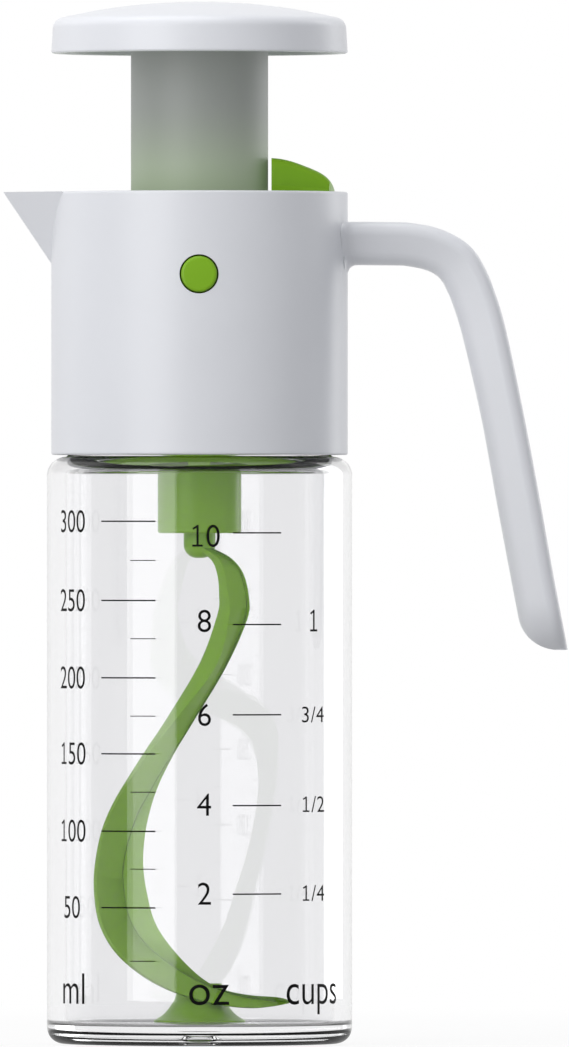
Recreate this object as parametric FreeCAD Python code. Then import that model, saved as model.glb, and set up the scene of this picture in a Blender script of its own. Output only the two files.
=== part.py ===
import FreeCAD, Part
import math
import os

# Plunger-driven dressing mixer: millimetres, +Z up, origin on the bottle's axis at its base.
# The spout points to -X, the handle to +X and the lock button to -Y.

# Bottle
BOTTLE_DIA = 69.0
BOTTLE_WALL = 4.2
BASE_THICK = 4.3
BODY_HEIGHT = 132.6
BASE_CORNER_R = 4.3
SHOULDER_R = 4.3
INNER_CORNER_R = 2.6
NECK_WALL = 3.2
NECK_HEIGHT = 15.0
NECK_LIP_R = 0.8
PIP_DIA = 6.6
PIP_HEIGHT = 1.1

# Collar
COLLAR_INSET = 1.0
COLLAR_GAP = 0.4
COLLAR_HEIGHT = 59.4
SKIRT_WALL = 2.4
MID_WALL = 3.4
RIM_WALL = 2.0
THREAD_ROOM = 1.5
LEDGE_THICK = 2.4
GASKET_THICK = 1.5

# Spout
SPOUT_REACH = 11.1
SPOUT_HALF_DEG = 24.0
SPOUT_DEPTH = 16.5
SPOUT_WALL = 1.6
SPOUT_TIP_R = 1.2
SPOUT_ROOT = 1.2

# Handle
HANDLE_WIDTH = 18.0
HANDLE_THICK = 9.7
HANDLE_BELOW_RIM = 6.8
HANDLE_REACH = 44.9
HANDLE_DROP = 91.8
HANDLE_BACK_R = 2.2
HANDLE_GRIP_R = 4.0
HANDLE_TIP_R = 8.5
HANDLE_ROOT_R = 1.8

# Handle stations: shares of the reach and of the drop along the middle line,
# the section's tilt in degrees and its share of the thickness
HANDLE_SHARES = [(-0.06, 0.0, 0, 1.0), (0.284, 0.001, 2, 1.0), (0.398, 0.010, 13.6, 1.0),
                 (0.488, 0.028, 29.6, 1.0), (0.550, 0.052, 43, 1.03), (0.592, 0.086, 57.6, 1.02),
                 (0.631, 0.131, 68.4, 1.01), (0.687, 0.221, 75.3, 1.01), (0.778, 0.424, 79, 0.98),
                 (0.857, 0.631, 79.3, 0.99), (0.934, 0.837, 79.3, 0.98), (1.02, 1.052, 79.7, 0.98)]

# Neck insert
INSERT_DROP = 1.6
INSERT_FLOOR = 2.2
INSERT_WALL = 1.5
INSERT_FLANGE = 1.6
BOSS_HEIGHT = 11.6
BOSS_WALL = 1.6
WINDOW_COUNT = 6
WINDOW_HALF_DEG = 24.0
WINDOW_EDGE = 1.2

# Drive tube, its bush and its nut
SLEEVE_SHARE = 0.282
SLEEVE_WALL = 1.9
SLEEVE_DROP = 17.7
SLEEVE_FLOOR = 3.6
SLEEVE_EDGE_R = 0.6
DRIVE_FLANGE_THICK = 1.9
BUSH_WALL = 1.1
BUSH_FLANGE_THICK = 1.0
NUT_FLANGE = 1.8
NUT_PLUG = 4.0

# Plunger tube and its guide
TUBE_SHARE = 0.4627
TUBE_WALL = 1.8
TUBE_ROOM = 1.5
STOP_RIM = 1.7
STOP_THICK = 2.0
DECK_DEPTH = 9.0
DECK_THICK = 2.4
GUIDE_LENGTH = 13.0
GUIDE_WALL = 1.4
WIPER_THICK = 1.6
WIPER_WIDTH = 1.4

# Plunger cap
CAP_LIFT_SHARE = 0.527
CAP_HEIGHT = 11.7
CAP_WALL = 2.0
CAP_DRAFT = 0.45
CAP_CORNER_R = 2.6
CAP_EDGE_DEG = 13.0
CAP_RIM_R = 0.5
CAP_BOSS_DIA = 16.0
CAP_BOSS_DEPTH = 4.6
CAP_RIB_WALL = 1.6
CAP_RIB_DEPTH = 3.6

# Twisted spindle and the return spring
SPINDLE_SHARE = 0.662
SPINDLE_THICK = 2.4
SPINDLE_LEAD = 32.0
SPINDLE_TAIL = 8.0
SPINDLE_HEAD_DIA = 11.2
SPINDLE_HEAD_THICK = 1.6
SPINDLE_STEPS_A_TURN = 12
TENON_DIA = 4.0
TENON_LENGTH = 2.6
CUP_THICK = 3.0
CUP_SPIGOT = 3.0
CUP_ROOM = 0.75
RETURN_WIRE = 1.1
RETURN_ROOM = 1.1
RETURN_TURNS = 14

# Stirrer: post, helical ribbon and trumpet foot
POST_SHARE = 0.381
POST_DROP = 5.6
POST_END_R = 3.0
POST_TOP = 4.2
BARB_RIM = 0.5
BARB_THICK = 1.6
STIRRER_NECK_ROOM = 2.2
FOOT_DIA = 20.8
FOOT_EDGE = 0.7
FOOT_NECK_DIA = 10.0
FOOT_HEIGHT = 9.0
FOOT_ARC_SHARE = 0.3

# Ribbon stations: turn in degrees, then shares of the drop, of the reach,
# of the reach for half the breadth, and of the reach for half the depth
RIBBON_SHARES = [(-75, 0.025, 0.10, 0.075, 0.065), (-45, 0.052, 0.22, 0.095, 0.080),
                 (-15, 0.093, 0.315, 0.130, 0.100), (12, 0.150, 0.335, 0.142, 0.115),
                 (38, 0.210, 0.360, 0.145, 0.135), (67, 0.270, 0.405, 0.150, 0.145),
                 (91, 0.325, 0.463, 0.152, 0.130), (120, 0.415, 0.562, 0.178, 0.128),
                 (151, 0.532, 0.680, 0.212, 0.140), (180, 0.680, 0.760, 0.240, 0.148),
                 (206, 0.797, 0.750, 0.265, 0.178), (233, 0.872, 0.655, 0.250, 0.182),
                 (262, 0.920, 0.385, 0.208, 0.125), (297, 0.940, 0.400, 0.140, 0.080),
                 (325, 0.949, 0.620, 0.110, 0.055), (344, 0.951, 0.880, 0.050, 0.025)]
RIBBON_FOOT_STATION = 12
FOOT_BITE_SHARE = 0.8
RIBBON_LEAN_SHARE = 0.18

# Pour lever and its pivot
LEVER_INSET = 1.6
LEVER_THICK = 2.2
LEVER_RIM_GAP = 0.6
LEVER_TUBE_GAP = 1.8
TAB_WIDTH = 18.0
TAB_TUBE_GAP = 0.75
TAB_END_GAP = 0.9
TAB_RISE = 7.6
TAB_SIDE_R = 1.6
TAB_CREST_SHARES = [(0.0, 1.0), (0.30, 0.91), (0.58, 0.72), (0.82, 0.50), (1.0, 0.0)]
PIVOT_RISE = 3.2
PIN_DIA = 1.6
EAR_R = 1.6
EAR_WIDTH = 2.5
LUG_WIDTH = 2.8
LUG_FROM_BORE = 1.6
LID_HALF_DEG = 17.0
LID_EDGE = 1.7
OUTLET_HALF_DEG = 13.0
OUTLET_EDGE = 1.4
SEAL_THICK = 2.1
LEVER_WIRE = 0.5
LEVER_COIL_DIA = 4.4
LEVER_TURNS = 6
POCKET_DEPTH = 5.0
POCKET_WALL = 1.0
POCKET_GAP = 0.6

# Lock button and slide
BUTTON_DIA = 8.1
BUTTON_HOLE_DIA = 8.8
BUTTON_BELOW_RIM = 18.8
BUTTON_PROUD = 0.4
BUTTON_EDGE_R = 0.7
BUTTON_FLANGE_DIA = 10.8
BUTTON_FLANGE_THICK = 1.0
BUTTON_STEM_DIA = 4.8
LOCK_TRAVEL = 1.8
SLIDE_THICK = 1.5
SLIDE_WIDTH = 8.4
SLIDE_TOP = 4.0
NOSE_WIDTH = 6.0
NOSE_HEIGHT = 2.2
RUNNER_WALL = 1.8
RUNNER_BELOW = 6.6
BULKHEAD_THICK = 1.0
BUTTON_WIRE = 0.4
BUTTON_COIL_DIA = 6.8
BUTTON_TURNS = 3

# Clearances
NECK_FIT = 0.4
SLIP_FIT = 0.3
GUIDE_FIT = 0.25
RUN_FIT = 0.08
SEAT_GAP = 0.1
PRESS_FIT = 0.05
OVERRUN = 5.0
ROUND_SHARE = 0.49

V = FreeCAD.Vector
UP = V(0, 0, 1)
ALONG_Y = V(0, 1, 0)
ORIGIN = V(0, 0, 0)

# Radii that follow from the driving sizes
bottle_r = BOTTLE_DIA / 2
bottle_bore_r = bottle_r - BOTTLE_WALL
collar_r = bottle_r - COLLAR_INSET
skirt_bore_r = collar_r - SKIRT_WALL
mid_bore_r = collar_r - MID_WALL
rim_bore_r = collar_r - RIM_WALL
neck_r = skirt_bore_r - THREAD_ROOM
neck_bore_r = neck_r - NECK_WALL
insert_r = neck_bore_r - NECK_FIT
insert_bore_r = insert_r - INSERT_WALL
ledge_bore_r = insert_r + SLIP_FIT
sleeve_r = SLEEVE_SHARE * collar_r
sleeve_bore_r = sleeve_r - SLEEVE_WALL
post_r = POST_SHARE * sleeve_r
spindle_width = 2 * SPINDLE_SHARE * sleeve_bore_r
return_coil_r = sleeve_bore_r - RETURN_ROOM - RETURN_WIRE / 2
bush_bore_r = sleeve_r + RUN_FIT
bush_r = bush_bore_r + BUSH_WALL
boss_r = bush_r + PRESS_FIT + BOSS_WALL
tube_r = TUBE_SHARE * collar_r
tube_bore_r = tube_r - TUBE_WALL
drive_flange_r = tube_bore_r - TUBE_ROOM
stop_r = tube_r + STOP_RIM
guide_bore_r = tube_r + GUIDE_FIT
guide_r = guide_bore_r + GUIDE_WALL
deck_r = rim_bore_r - SLIP_FIT
lever_r = rim_bore_r - LEVER_RIM_GAP
lever_bore_r = tube_r + LEVER_TUBE_GAP
stirrer_reach = neck_bore_r - STIRRER_NECK_ROOM
cap_r = collar_r
pocket_r = LEVER_COIL_DIA / 2 + LEVER_WIRE + POCKET_WALL
pocket_x = mid_bore_r - POCKET_GAP - pocket_r

# Heights that follow from the driving sizes
z_collar = BODY_HEIGHT + COLLAR_GAP
z_rim = z_collar + COLLAR_HEIGHT
z_neck_top = BODY_HEIGHT + NECK_HEIGHT
z_ledge = z_neck_top + GASKET_THICK
z_ledge_top = z_ledge + LEDGE_THICK
z_floor = z_collar - INSERT_DROP
z_boss_top = z_floor + BOSS_HEIGHT
z_bush_top = z_boss_top + BUSH_FLANGE_THICK
z_sleeve = z_collar - SLEEVE_DROP
z_sleeve_floor = z_sleeve + SLEEVE_FLOOR
z_deck_top = z_rim - DECK_DEPTH
z_deck = z_deck_top - DECK_THICK
z_guide = z_deck_top - GUIDE_LENGTH
z_stop_top = z_guide - SLIP_FIT
z_tube = z_stop_top - STOP_THICK
cap_lift = CAP_LIFT_SHARE * COLLAR_HEIGHT
z_cap = z_rim + cap_lift
z_cap_top = z_cap + CAP_HEIGHT
z_cap_boss = z_cap_top - CAP_BOSS_DEPTH
stroke = cap_lift - SLIP_FIT
z_nut_top = z_cap_boss - stroke - SLIP_FIT
z_sleeve_top = z_nut_top - NUT_FLANGE
z_nut = z_sleeve_top - NUT_PLUG
z_spindle = z_nut - SPINDLE_TAIL
z_cup = z_spindle - CUP_THICK
z_lever_top = z_rim - LEVER_INSET
z_lever = z_lever_top - LEVER_THICK
z_pivot = z_deck_top + PIVOT_RISE
z_seal_top = z_deck_top + SEAT_GAP + SEAL_THICK
z_button = z_rim - BUTTON_BELOW_RIM
z_foot = BASE_THICK + SLIP_FIT


def to_profile(u, v):
    return V(u, 0, v)


def to_plan(z):
    return lambda u, v: V(u, v, z)


def rounded_wire(corners, place):
    """Closed wire through corners (u, v, radius), each rounded as far as its sides allow."""
    flat = [V(u, v, 0) for u, v, radius in corners]
    edges = []
    stops = []
    for i, here in enumerate(flat):
        back = flat[i - 1] - here
        ahead = flat[(i + 1) % len(flat)] - here
        half = back.getAngle(ahead) / 2
        limit = ROUND_SHARE * min(back.Length, ahead.Length)
        setback = min(corners[i][2] / math.tan(half), limit)
        radius = setback * math.tan(half)
        back.normalize()
        ahead.normalize()
        middle = back + ahead
        if radius:
            middle.normalize()
        crown = here + middle * (radius / math.sin(half) - radius)
        stops.append((here + back * setback, crown, here + ahead * setback, radius))
    for i, (start, crown, end, radius) in enumerate(stops):
        if radius:
            arc = Part.Arc(place(start.x, start.y), place(crown.x, crown.y), place(end.x, end.y))
            edges.append(arc.toShape())
        after = stops[(i + 1) % len(stops)][0]
        if end.distanceToPoint(after) > Part.Precision.confusion():
            edges.append(Part.makeLine(place(end.x, end.y), place(after.x, after.y)))
    return Part.Wire(edges)


def turned(wire):
    return Part.Face(wire).revolve(ORIGIN, UP, 360)


def lathe(corners):
    return turned(rounded_wire(corners, to_profile))


def cylinder(radius, low, high, x=0, y=0):
    return Part.makeCylinder(radius, high - low, V(x, y, low), UP)


def ring(inner_r, outer_r, low, high):
    return cylinder(outer_r, low, high).cut(cylinder(inner_r, low, high))


def rod(radius, x, z, start, end):
    return Part.makeCylinder(radius, end - start, V(x, start, z), ALONG_Y)


def block(x_span, y_span, z_span):
    size = [high - low for low, high in (x_span, y_span, z_span)]
    return Part.makeBox(*size, V(x_span[0], y_span[0], z_span[0]))


def sector(inner_r, outer_r, low, high, middle_deg, half_deg):
    wedge = Part.makeCylinder(outer_r, high - low, V(0, 0, low), UP, 2 * half_deg)
    wedge = wedge.cut(cylinder(inner_r, low, high))
    wedge.rotate(ORIGIN, UP, middle_deg - half_deg)
    return wedge


def arc_from(start, tangent, end):
    """Circular arc that leaves start along tangent and reaches end."""
    chord = end - start
    side = chord - tangent * chord.dot(tangent)
    side.normalize()
    radius = chord.dot(chord) / (2 * chord.dot(side))
    centre = start + side * radius
    crown = (start - centre) + (end - centre)
    crown.normalize()
    return Part.Arc(start, centre + crown * radius, end).toShape()


def biarc(start, start_dir, end, end_dir):
    """Two tangent arcs between two points with given directions."""
    chord = end - start
    both = start_dir + end_dir
    bend = 2 * (1 - start_dir.dot(end_dir))
    reach = (math.sqrt(chord.dot(both) ** 2 + bend * chord.dot(chord)) - chord.dot(both)) / bend
    middle = (start + end + (start_dir - end_dir) * reach) * 0.5
    middle_dir = (end - end_dir * reach) - (start + start_dir * reach)
    middle_dir.normalize()
    return [arc_from(start, start_dir, middle), arc_from(middle, middle_dir, end)]


def coil(wire_dia, coil_dia, turns, length):
    """Open coil spring along +Z from the origin, as one tube, with its least gap printed."""
    coil_r = coil_dia / 2
    wire_r = wire_dia / 2
    rise = length - wire_dia

    def spot(turn):
        angle = 2 * math.pi * turn
        return V(coil_r * math.cos(angle), coil_r * math.sin(angle), wire_r + rise * turn / turns)

    def heading(turn):
        angle = 2 * math.pi * turn
        run = 2 * math.pi * coil_r
        direction = V(-run * math.sin(angle), run * math.cos(angle), rise / turns)
        return direction.normalize()

    quarters = [step / 4 for step in range(4 * turns + 1)]
    edges = []
    for low, high in zip(quarters, quarters[1:]):
        edges += biarc(spot(low), heading(low), spot(high), heading(high))
    shell = Part.BRepOffsetAPI.MakePipeShell(Part.Wire(edges))
    shell.add(Part.Wire(Part.makeCircle(wire_r, spot(0), heading(0))))
    shell.build()
    shell.makeSolid()
    samples = [spot(step / 16) for step in range(16 * turns + 1)]
    gaps = [a.distanceToPoint(b) for i, a in enumerate(samples) for b in samples[i + 8:]]
    print("coil of", turns, "turns: least gap", round(min(gaps) - wire_dia, 2), "mm")
    return shell.shape()


def make_bottle():
    z_ceiling = BODY_HEIGHT - BOTTLE_WALL
    pip_r = PIP_DIA / 2
    return lathe([
        (0, 0, 0), (bottle_r, 0, BASE_CORNER_R), (bottle_r, BODY_HEIGHT, SHOULDER_R),
        (neck_r, BODY_HEIGHT, NECK_LIP_R), (neck_r, z_neck_top, NECK_LIP_R),
        (neck_bore_r, z_neck_top, NECK_LIP_R), (neck_bore_r, z_ceiling, INNER_CORNER_R),
        (bottle_bore_r, z_ceiling, INNER_CORNER_R), (bottle_bore_r, BASE_THICK, INNER_CORNER_R),
        (pip_r, BASE_THICK, PIP_HEIGHT), (pip_r - PIP_HEIGHT, BASE_THICK + PIP_HEIGHT, PIP_HEIGHT),
        (0, BASE_THICK + PIP_HEIGHT, 0)])


def make_gasket():
    return ring(neck_bore_r + SLIP_FIT, neck_r, z_neck_top, z_ledge)


def beak(tip_x, root_x, half_width, keel, top_z, tip_r):
    """V-shaped beak: a plan triangle at top_z drawn down to the keel point."""
    rise = (top_z - keel.z) / (z_rim - keel.z)
    tip = keel.x + (tip_x - keel.x) * rise
    root = keel.x + (root_x - keel.x) * rise
    plan = [(root, half_width * rise, 0), (tip, 0, tip_r), (root, -half_width * rise, 0)]
    return Part.makeLoft([rounded_wire(plan, to_plan(top_z)), Part.Vertex(keel)], True, True)


def make_spout():
    """Outer beak and the channel that is cut from it."""
    angle = math.radians(SPOUT_HALF_DEG)
    root_x = -collar_r * math.cos(angle)
    half_width = collar_r * math.sin(angle)
    tip_x = -collar_r - SPOUT_REACH
    slope = SPOUT_DEPTH / SPOUT_REACH
    keel = V(-collar_r + SPOUT_ROOT, 0, z_rim - SPOUT_DEPTH - SPOUT_ROOT * slope)
    flank = math.atan2(half_width, root_x - tip_x)
    inner_tip = tip_x + SPOUT_WALL / math.sin(flank)
    inner_root = -rim_bore_r + SPOUT_ROOT
    inner_half = (inner_root - inner_tip) * math.tan(flank)
    inner_slope = (z_rim - z_deck_top) / (-rim_bore_r - inner_tip)
    inner_keel = V(inner_root, 0, z_deck_top - SPOUT_ROOT * inner_slope)
    outer = beak(tip_x, root_x, half_width, keel, z_rim, SPOUT_TIP_R)
    inner = beak(inner_tip, inner_root, inner_half, inner_keel, z_rim + OVERRUN, SPOUT_TIP_R)
    return outer, inner


def handle_edges(z_arm):
    """Points along the handle's back and along its grip side, from the root to past the tip."""
    backs = []
    grips = []
    for u, v, tilt_deg, thick_share in HANDLE_SHARES:
        spot = V(collar_r + u * HANDLE_REACH, 0, z_arm - v * HANDLE_DROP)
        tilt = math.radians(tilt_deg)
        half = V(math.sin(tilt), 0, math.cos(tilt)) * (thick_share * HANDLE_THICK / 2)
        backs.append(spot + half)
        grips.append(spot - half)
    return backs, grips


def long_edges(blade):
    """The edges that run the handle's whole length, the grip side's first and the back's last."""
    edges = [edge for edge in blade.Edges if edge.Length > HANDLE_DROP]
    return sorted(edges, key=lambda edge: edge.Length)


def make_handle():
    """Side outline pulled across the width, rounded along its long edges and trimmed at the tip."""
    z_arm = z_rim - HANDLE_BELOW_RIM - HANDLE_THICK / 2
    z_tip = z_arm - HANDLE_DROP
    half_w = HANDLE_WIDTH / 2
    backs, grips = handle_edges(z_arm)
    curves = []
    for spots in (backs, grips):
        curve = Part.BSplineCurve()
        curve.interpolate(spots, InitialTangent=V(1, 0, 0), FinalTangent=(spots[-1] - spots[-2]).normalize())
        curves.append(curve.toShape())
    ends = [Part.makeLine(backs[i], grips[i]) for i in (0, -1)]
    outline = Part.Wire(Part.__sortEdges__(curves + ends))
    blade = Part.Face(outline).extrude(V(0, HANDLE_WIDTH, 0))
    blade.translate(V(0, -half_w, 0))
    blade = blade.makeFillet(HANDLE_GRIP_R, long_edges(blade)[:2])
    blade = blade.makeFillet(HANDLE_BACK_R, long_edges(blade)[-2:])
    run = grips[-1] - grips[-2]
    corner_x = grips[-2].x + (z_tip - grips[-2].z) * run.x / run.z
    far = collar_r + HANDLE_REACH + HANDLE_THICK
    keep = rounded_wire([(corner_x, z_tip, HANDLE_TIP_R), (far, z_tip, 0), (far, z_rim, 0), (0, z_rim, 0),
                         (0, z_arm - HANDLE_THICK, 0), (corner_x - HANDLE_REACH, z_arm - HANDLE_THICK, 0)],
                        to_profile)
    slab = Part.Face(keep).extrude(V(0, HANDLE_WIDTH + 2 * OVERRUN, 0))
    slab.translate(V(0, -half_w - OVERRUN, 0))
    return blade.common(slab)


def on_skin(edge):
    """True for an edge of the handle's root, which lies on the collar's outer skin."""
    spots = [edge.valueAt(share) for share in edge.ParameterRange]
    inside = all(abs(spot.y) < collar_r / 2 and z_collar < spot.z < z_rim for spot in spots)
    return inside and all(abs(math.hypot(spot.x, spot.y) - collar_r) < SEAT_GAP for spot in spots)


def make_collar():
    outer, channel = make_spout()
    body = cylinder(collar_r, z_collar, z_rim).fuse(make_handle())
    root = [edge for edge in body.Edges if edge.CenterOfMass.x > 0 and on_skin(edge)]
    body = body.makeFillet(HANDLE_ROOT_R, root).fuse(outer)
    hollow = lathe([
        (0, z_collar - OVERRUN, 0), (skirt_bore_r, z_collar - OVERRUN, 0), (skirt_bore_r, z_ledge, 0),
        (ledge_bore_r, z_ledge, 0), (ledge_bore_r, z_ledge_top, 0), (mid_bore_r, z_ledge_top, 0),
        (mid_bore_r, z_deck, 0), (rim_bore_r, z_deck, 0), (rim_bore_r, z_rim + OVERRUN, 0),
        (0, z_rim + OVERRUN, 0)])
    hole = rod(BUTTON_HOLE_DIA / 2, 0, z_button, -collar_r - OVERRUN, 0)
    return body.cut([hollow, channel, hole]).removeSplitter()


def make_insert():
    """Cup that hangs in the neck: flange on the ledge, windowed floor, bearing boss."""
    z_flange = z_ledge_top + INSERT_FLANGE
    cup = lathe([
        (bush_r + PRESS_FIT, z_floor, 0), (insert_r, z_floor, INSERT_FLANGE), (insert_r, z_ledge_top, 0),
        (mid_bore_r - SLIP_FIT, z_ledge_top, 0), (mid_bore_r - SLIP_FIT, z_flange, 0),
        (insert_bore_r, z_flange, 0), (insert_bore_r, z_floor + INSERT_FLOOR, INSERT_WALL),
        (boss_r, z_floor + INSERT_FLOOR, INSERT_WALL), (boss_r, z_boss_top, 0),
        (bush_r + PRESS_FIT, z_boss_top, 0)])
    pitch = 360 / WINDOW_COUNT
    windows = [sector(boss_r + INSERT_WALL, insert_bore_r - WINDOW_EDGE, z_floor - OVERRUN,
                      z_floor + INSERT_FLOOR + WINDOW_EDGE, i * pitch, WINDOW_HALF_DEG)
               for i in range(WINDOW_COUNT)]
    return cup.cut(windows)


def make_bush():
    barrel = ring(bush_bore_r, bush_r, z_floor, z_boss_top)
    return barrel.fuse(ring(bush_bore_r, boss_r, z_boss_top, z_bush_top)).removeSplitter()


def make_drive_tube():
    hole_r = post_r + SEAT_GAP
    z_flange = z_bush_top + SEAT_GAP
    return lathe([
        (hole_r, z_sleeve, 0), (sleeve_r, z_sleeve, SLEEVE_EDGE_R), (sleeve_r, z_flange, 0),
        (drive_flange_r, z_flange, 0), (drive_flange_r, z_flange + DRIVE_FLANGE_THICK, 0),
        (sleeve_r, z_flange + DRIVE_FLANGE_THICK, 0), (sleeve_r, z_sleeve_top, 0),
        (sleeve_bore_r, z_sleeve_top, 0), (sleeve_bore_r, z_sleeve_floor, 0),
        (hole_r, z_sleeve_floor, 0)])


def twisted_strip(width, thick, low, high):
    """Flat strip along the axis whose section turns once in each spindle lead."""
    step = SPINDLE_LEAD / SPINDLE_STEPS_A_TURN
    count = math.ceil((high - low) / step)
    sections = []
    for i in range(count + 1):
        z = low + (high - low) * i / count
        section = rounded_wire([(width / 2, thick / 2, 0), (-width / 2, thick / 2, 0),
                                (-width / 2, -thick / 2, 0), (width / 2, -thick / 2, 0)], to_plan(z))
        section.rotate(ORIGIN, UP, 360 * (z - z_nut_top) / SPINDLE_LEAD)
        sections.append(section)
    return Part.makeLoft(sections, True)


def make_spindle():
    z_head = z_cap_boss + SPINDLE_HEAD_THICK
    strip = twisted_strip(spindle_width, SPINDLE_THICK, z_spindle, z_cap_boss + SPINDLE_HEAD_THICK / 2)
    head = cylinder(SPINDLE_HEAD_DIA / 2, z_cap_boss, z_head)
    tenon = cylinder(TENON_DIA / 2, z_spindle - TENON_LENGTH, z_spindle + TENON_LENGTH / 2)
    return strip.fuse([head, tenon])


def make_nut():
    slot = twisted_strip(spindle_width + 2 * SLIP_FIT, SPINDLE_THICK + 2 * SLIP_FIT,
                         z_nut - OVERRUN, z_nut_top + OVERRUN)
    plug = cylinder(sleeve_bore_r - PRESS_FIT, z_nut, z_sleeve_top)
    return plug.fuse(cylinder(sleeve_r, z_sleeve_top, z_nut_top)).cut(slot)


def make_cup():
    cup = cylinder(sleeve_bore_r - SLIP_FIT, z_cup, z_spindle)
    spigot_r = return_coil_r - RETURN_WIRE / 2 - CUP_ROOM
    cup = cup.fuse(cylinder(spigot_r, z_cup - CUP_SPIGOT, z_cup))
    return cup.cut(cylinder(TENON_DIA / 2 + PRESS_FIT, z_spindle - TENON_LENGTH - PRESS_FIT, z_spindle))


def make_return_spring():
    length = z_cup - z_sleeve_floor - 2 * SEAT_GAP
    spring = coil(RETURN_WIRE, 2 * return_coil_r, RETURN_TURNS, length)
    spring.translate(V(0, 0, z_sleeve_floor + SEAT_GAP))
    return spring


def make_plunger_tube():
    z_top = z_dome(tube_r) - CAP_WALL - SEAT_GAP
    return lathe([
        (tube_bore_r, z_tube, 0), (stop_r, z_tube, 0), (stop_r, z_stop_top, 0),
        (tube_r, z_stop_top, 0), (tube_r, z_top, 0), (tube_bore_r, z_top, 0)])


def cap_shape():
    """Dome radius, corner centre and slope at the dome's edge."""
    slope = math.radians(CAP_EDGE_DEG)
    corner_x = cap_r - CAP_DRAFT - CAP_CORNER_R
    dome_r = corner_x / math.sin(slope) + CAP_CORNER_R
    corner_z = z_cap_top - dome_r + (dome_r - CAP_CORNER_R) * math.cos(slope)
    return slope, corner_x, dome_r, corner_z


def z_dome(radius):
    dome_r = cap_shape()[2]
    return z_cap_top - dome_r + math.sqrt(dome_r ** 2 - radius ** 2)


def cap_solid(inset):
    """Domed cap shape drawn in by inset from the outer skin, down to the rim."""
    slope, corner_x, dome_r, corner_z = cap_shape()
    round_r = CAP_CORNER_R - inset
    crown_r = dome_r - inset
    middle = z_cap_top - dome_r

    def on_dome(angle):
        return V(crown_r * math.sin(angle), 0, middle + crown_r * math.cos(angle))

    def on_corner(angle):
        return V(corner_x + round_r * math.sin(angle), 0, corner_z + round_r * math.cos(angle))

    quarter = math.pi / 2
    rim = V(cap_r - inset, 0, z_cap)
    edges = [Part.Arc(on_dome(0), on_dome(slope / 2), on_dome(slope)).toShape(),
             Part.Arc(on_dome(slope), on_corner((slope + quarter) / 2), on_corner(quarter)).toShape(),
             Part.makeLine(on_corner(quarter), rim), Part.makeLine(rim, V(0, 0, z_cap)),
             Part.makeLine(V(0, 0, z_cap), on_dome(0))]
    return turned(Part.Wire(edges))


def make_cap():
    outer = cap_solid(0)
    rim = [edge for edge in outer.Edges if edge.BoundBox.ZMax < z_cap + CAP_RIM_R]
    outer = outer.makeFillet(CAP_RIM_R, [edge for edge in rim if edge.BoundBox.XMax > cap_r / 2])
    z_rib = z_dome(tube_r) - CAP_WALL - CAP_RIB_DEPTH
    rib_r = tube_bore_r - PRESS_FIT
    rib = ring(rib_r - CAP_RIB_WALL, rib_r, z_rib, z_cap_top).common(outer)
    boss = cylinder(CAP_BOSS_DIA / 2, z_cap_boss, z_cap_top).common(outer)
    seat = cylinder(SPINDLE_HEAD_DIA / 2 + PRESS_FIT, z_cap_boss, z_cap_boss + SPINDLE_HEAD_THICK)
    return outer.cut(cap_solid(CAP_WALL)).fuse([rib, boss]).cut(seat).removeSplitter()


def ribbon_wire(spot, heading, breadth, depth):
    """Four-sided section across the ribbon: one corner out, one up, one in, one down."""
    out = heading.cross(UP).normalize()
    over = out.cross(heading).normalize()
    lean = RIBBON_LEAN_SHARE
    corners = [(breadth, lean * depth), (lean * breadth, depth),
               (-breadth, -lean * depth), (-lean * breadth, -depth)]
    return rounded_wire([(u, v, 0) for u, v in corners], lambda u, v: spot + out * u + over * v)


def make_ribbon():
    """Helical blade lofted through its stations; at the foot it bites into the foot's neck."""
    drop = z_sleeve - BASE_THICK
    spots = []
    for i, (turn, drop_share, reach_share, breadth_share, depth_share) in enumerate(RIBBON_SHARES):
        angle = math.radians(turn)
        radius = reach_share * stirrer_reach
        if i == RIBBON_FOOT_STATION:
            radius = FOOT_NECK_DIA / 2 + FOOT_BITE_SHARE * breadth_share * stirrer_reach
        spots.append(V(radius * math.cos(angle), radius * math.sin(angle), z_sleeve - drop_share * drop))
    sections = []
    for i, spot in enumerate(spots):
        before = spots[max(i - 1, 0)]
        after = spots[min(i + 1, len(spots) - 1)]
        breadth, depth = [share * stirrer_reach for share in RIBBON_SHARES[i][3:]]
        sections.append(ribbon_wire(spot, (after - before).normalize(), breadth, depth))
    return Part.makeLoft(sections, True)


def make_foot():
    """Trumpet foot with a hollow that sits over the bottle's pip."""
    foot_r = FOOT_DIA / 2
    foot_neck_r = FOOT_NECK_DIA / 2
    z_edge = z_foot + FOOT_EDGE
    z_top = z_foot + FOOT_HEIGHT
    waist = V(foot_neck_r + FOOT_ARC_SHARE * (foot_r - foot_neck_r), 0,
              z_edge + FOOT_ARC_SHARE * (z_top - z_edge))
    hollow_r = PIP_DIA / 2 + SLIP_FIT
    z_hollow = z_foot + PIP_HEIGHT + SLIP_FIT
    spots = [V(hollow_r, 0, z_foot), V(foot_r, 0, z_foot), V(foot_r, 0, z_edge)]
    spots += [V(foot_neck_r, 0, z_top), V(0, 0, z_top), V(0, 0, z_hollow), V(hollow_r, 0, z_hollow)]
    edges = [Part.makeLine(a, b) for a, b in zip(spots, spots[1:] + spots[:1])]
    edges[2] = Part.Arc(spots[2], waist, spots[3]).toShape()
    return turned(Part.Wire(edges))


def make_stirrer():
    z_barb = z_sleeve_floor + SEAT_GAP
    post = lathe([
        (0, z_sleeve - POST_DROP, 0), (post_r, z_sleeve - POST_DROP, POST_END_R), (post_r, z_barb, 0),
        (post_r + BARB_RIM, z_barb, 0), (post_r, z_barb + BARB_THICK, 0), (post_r, z_barb + POST_TOP, 0),
        (0, z_barb + POST_TOP, 0)])
    return post.fuse([make_ribbon(), make_foot()])


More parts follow.
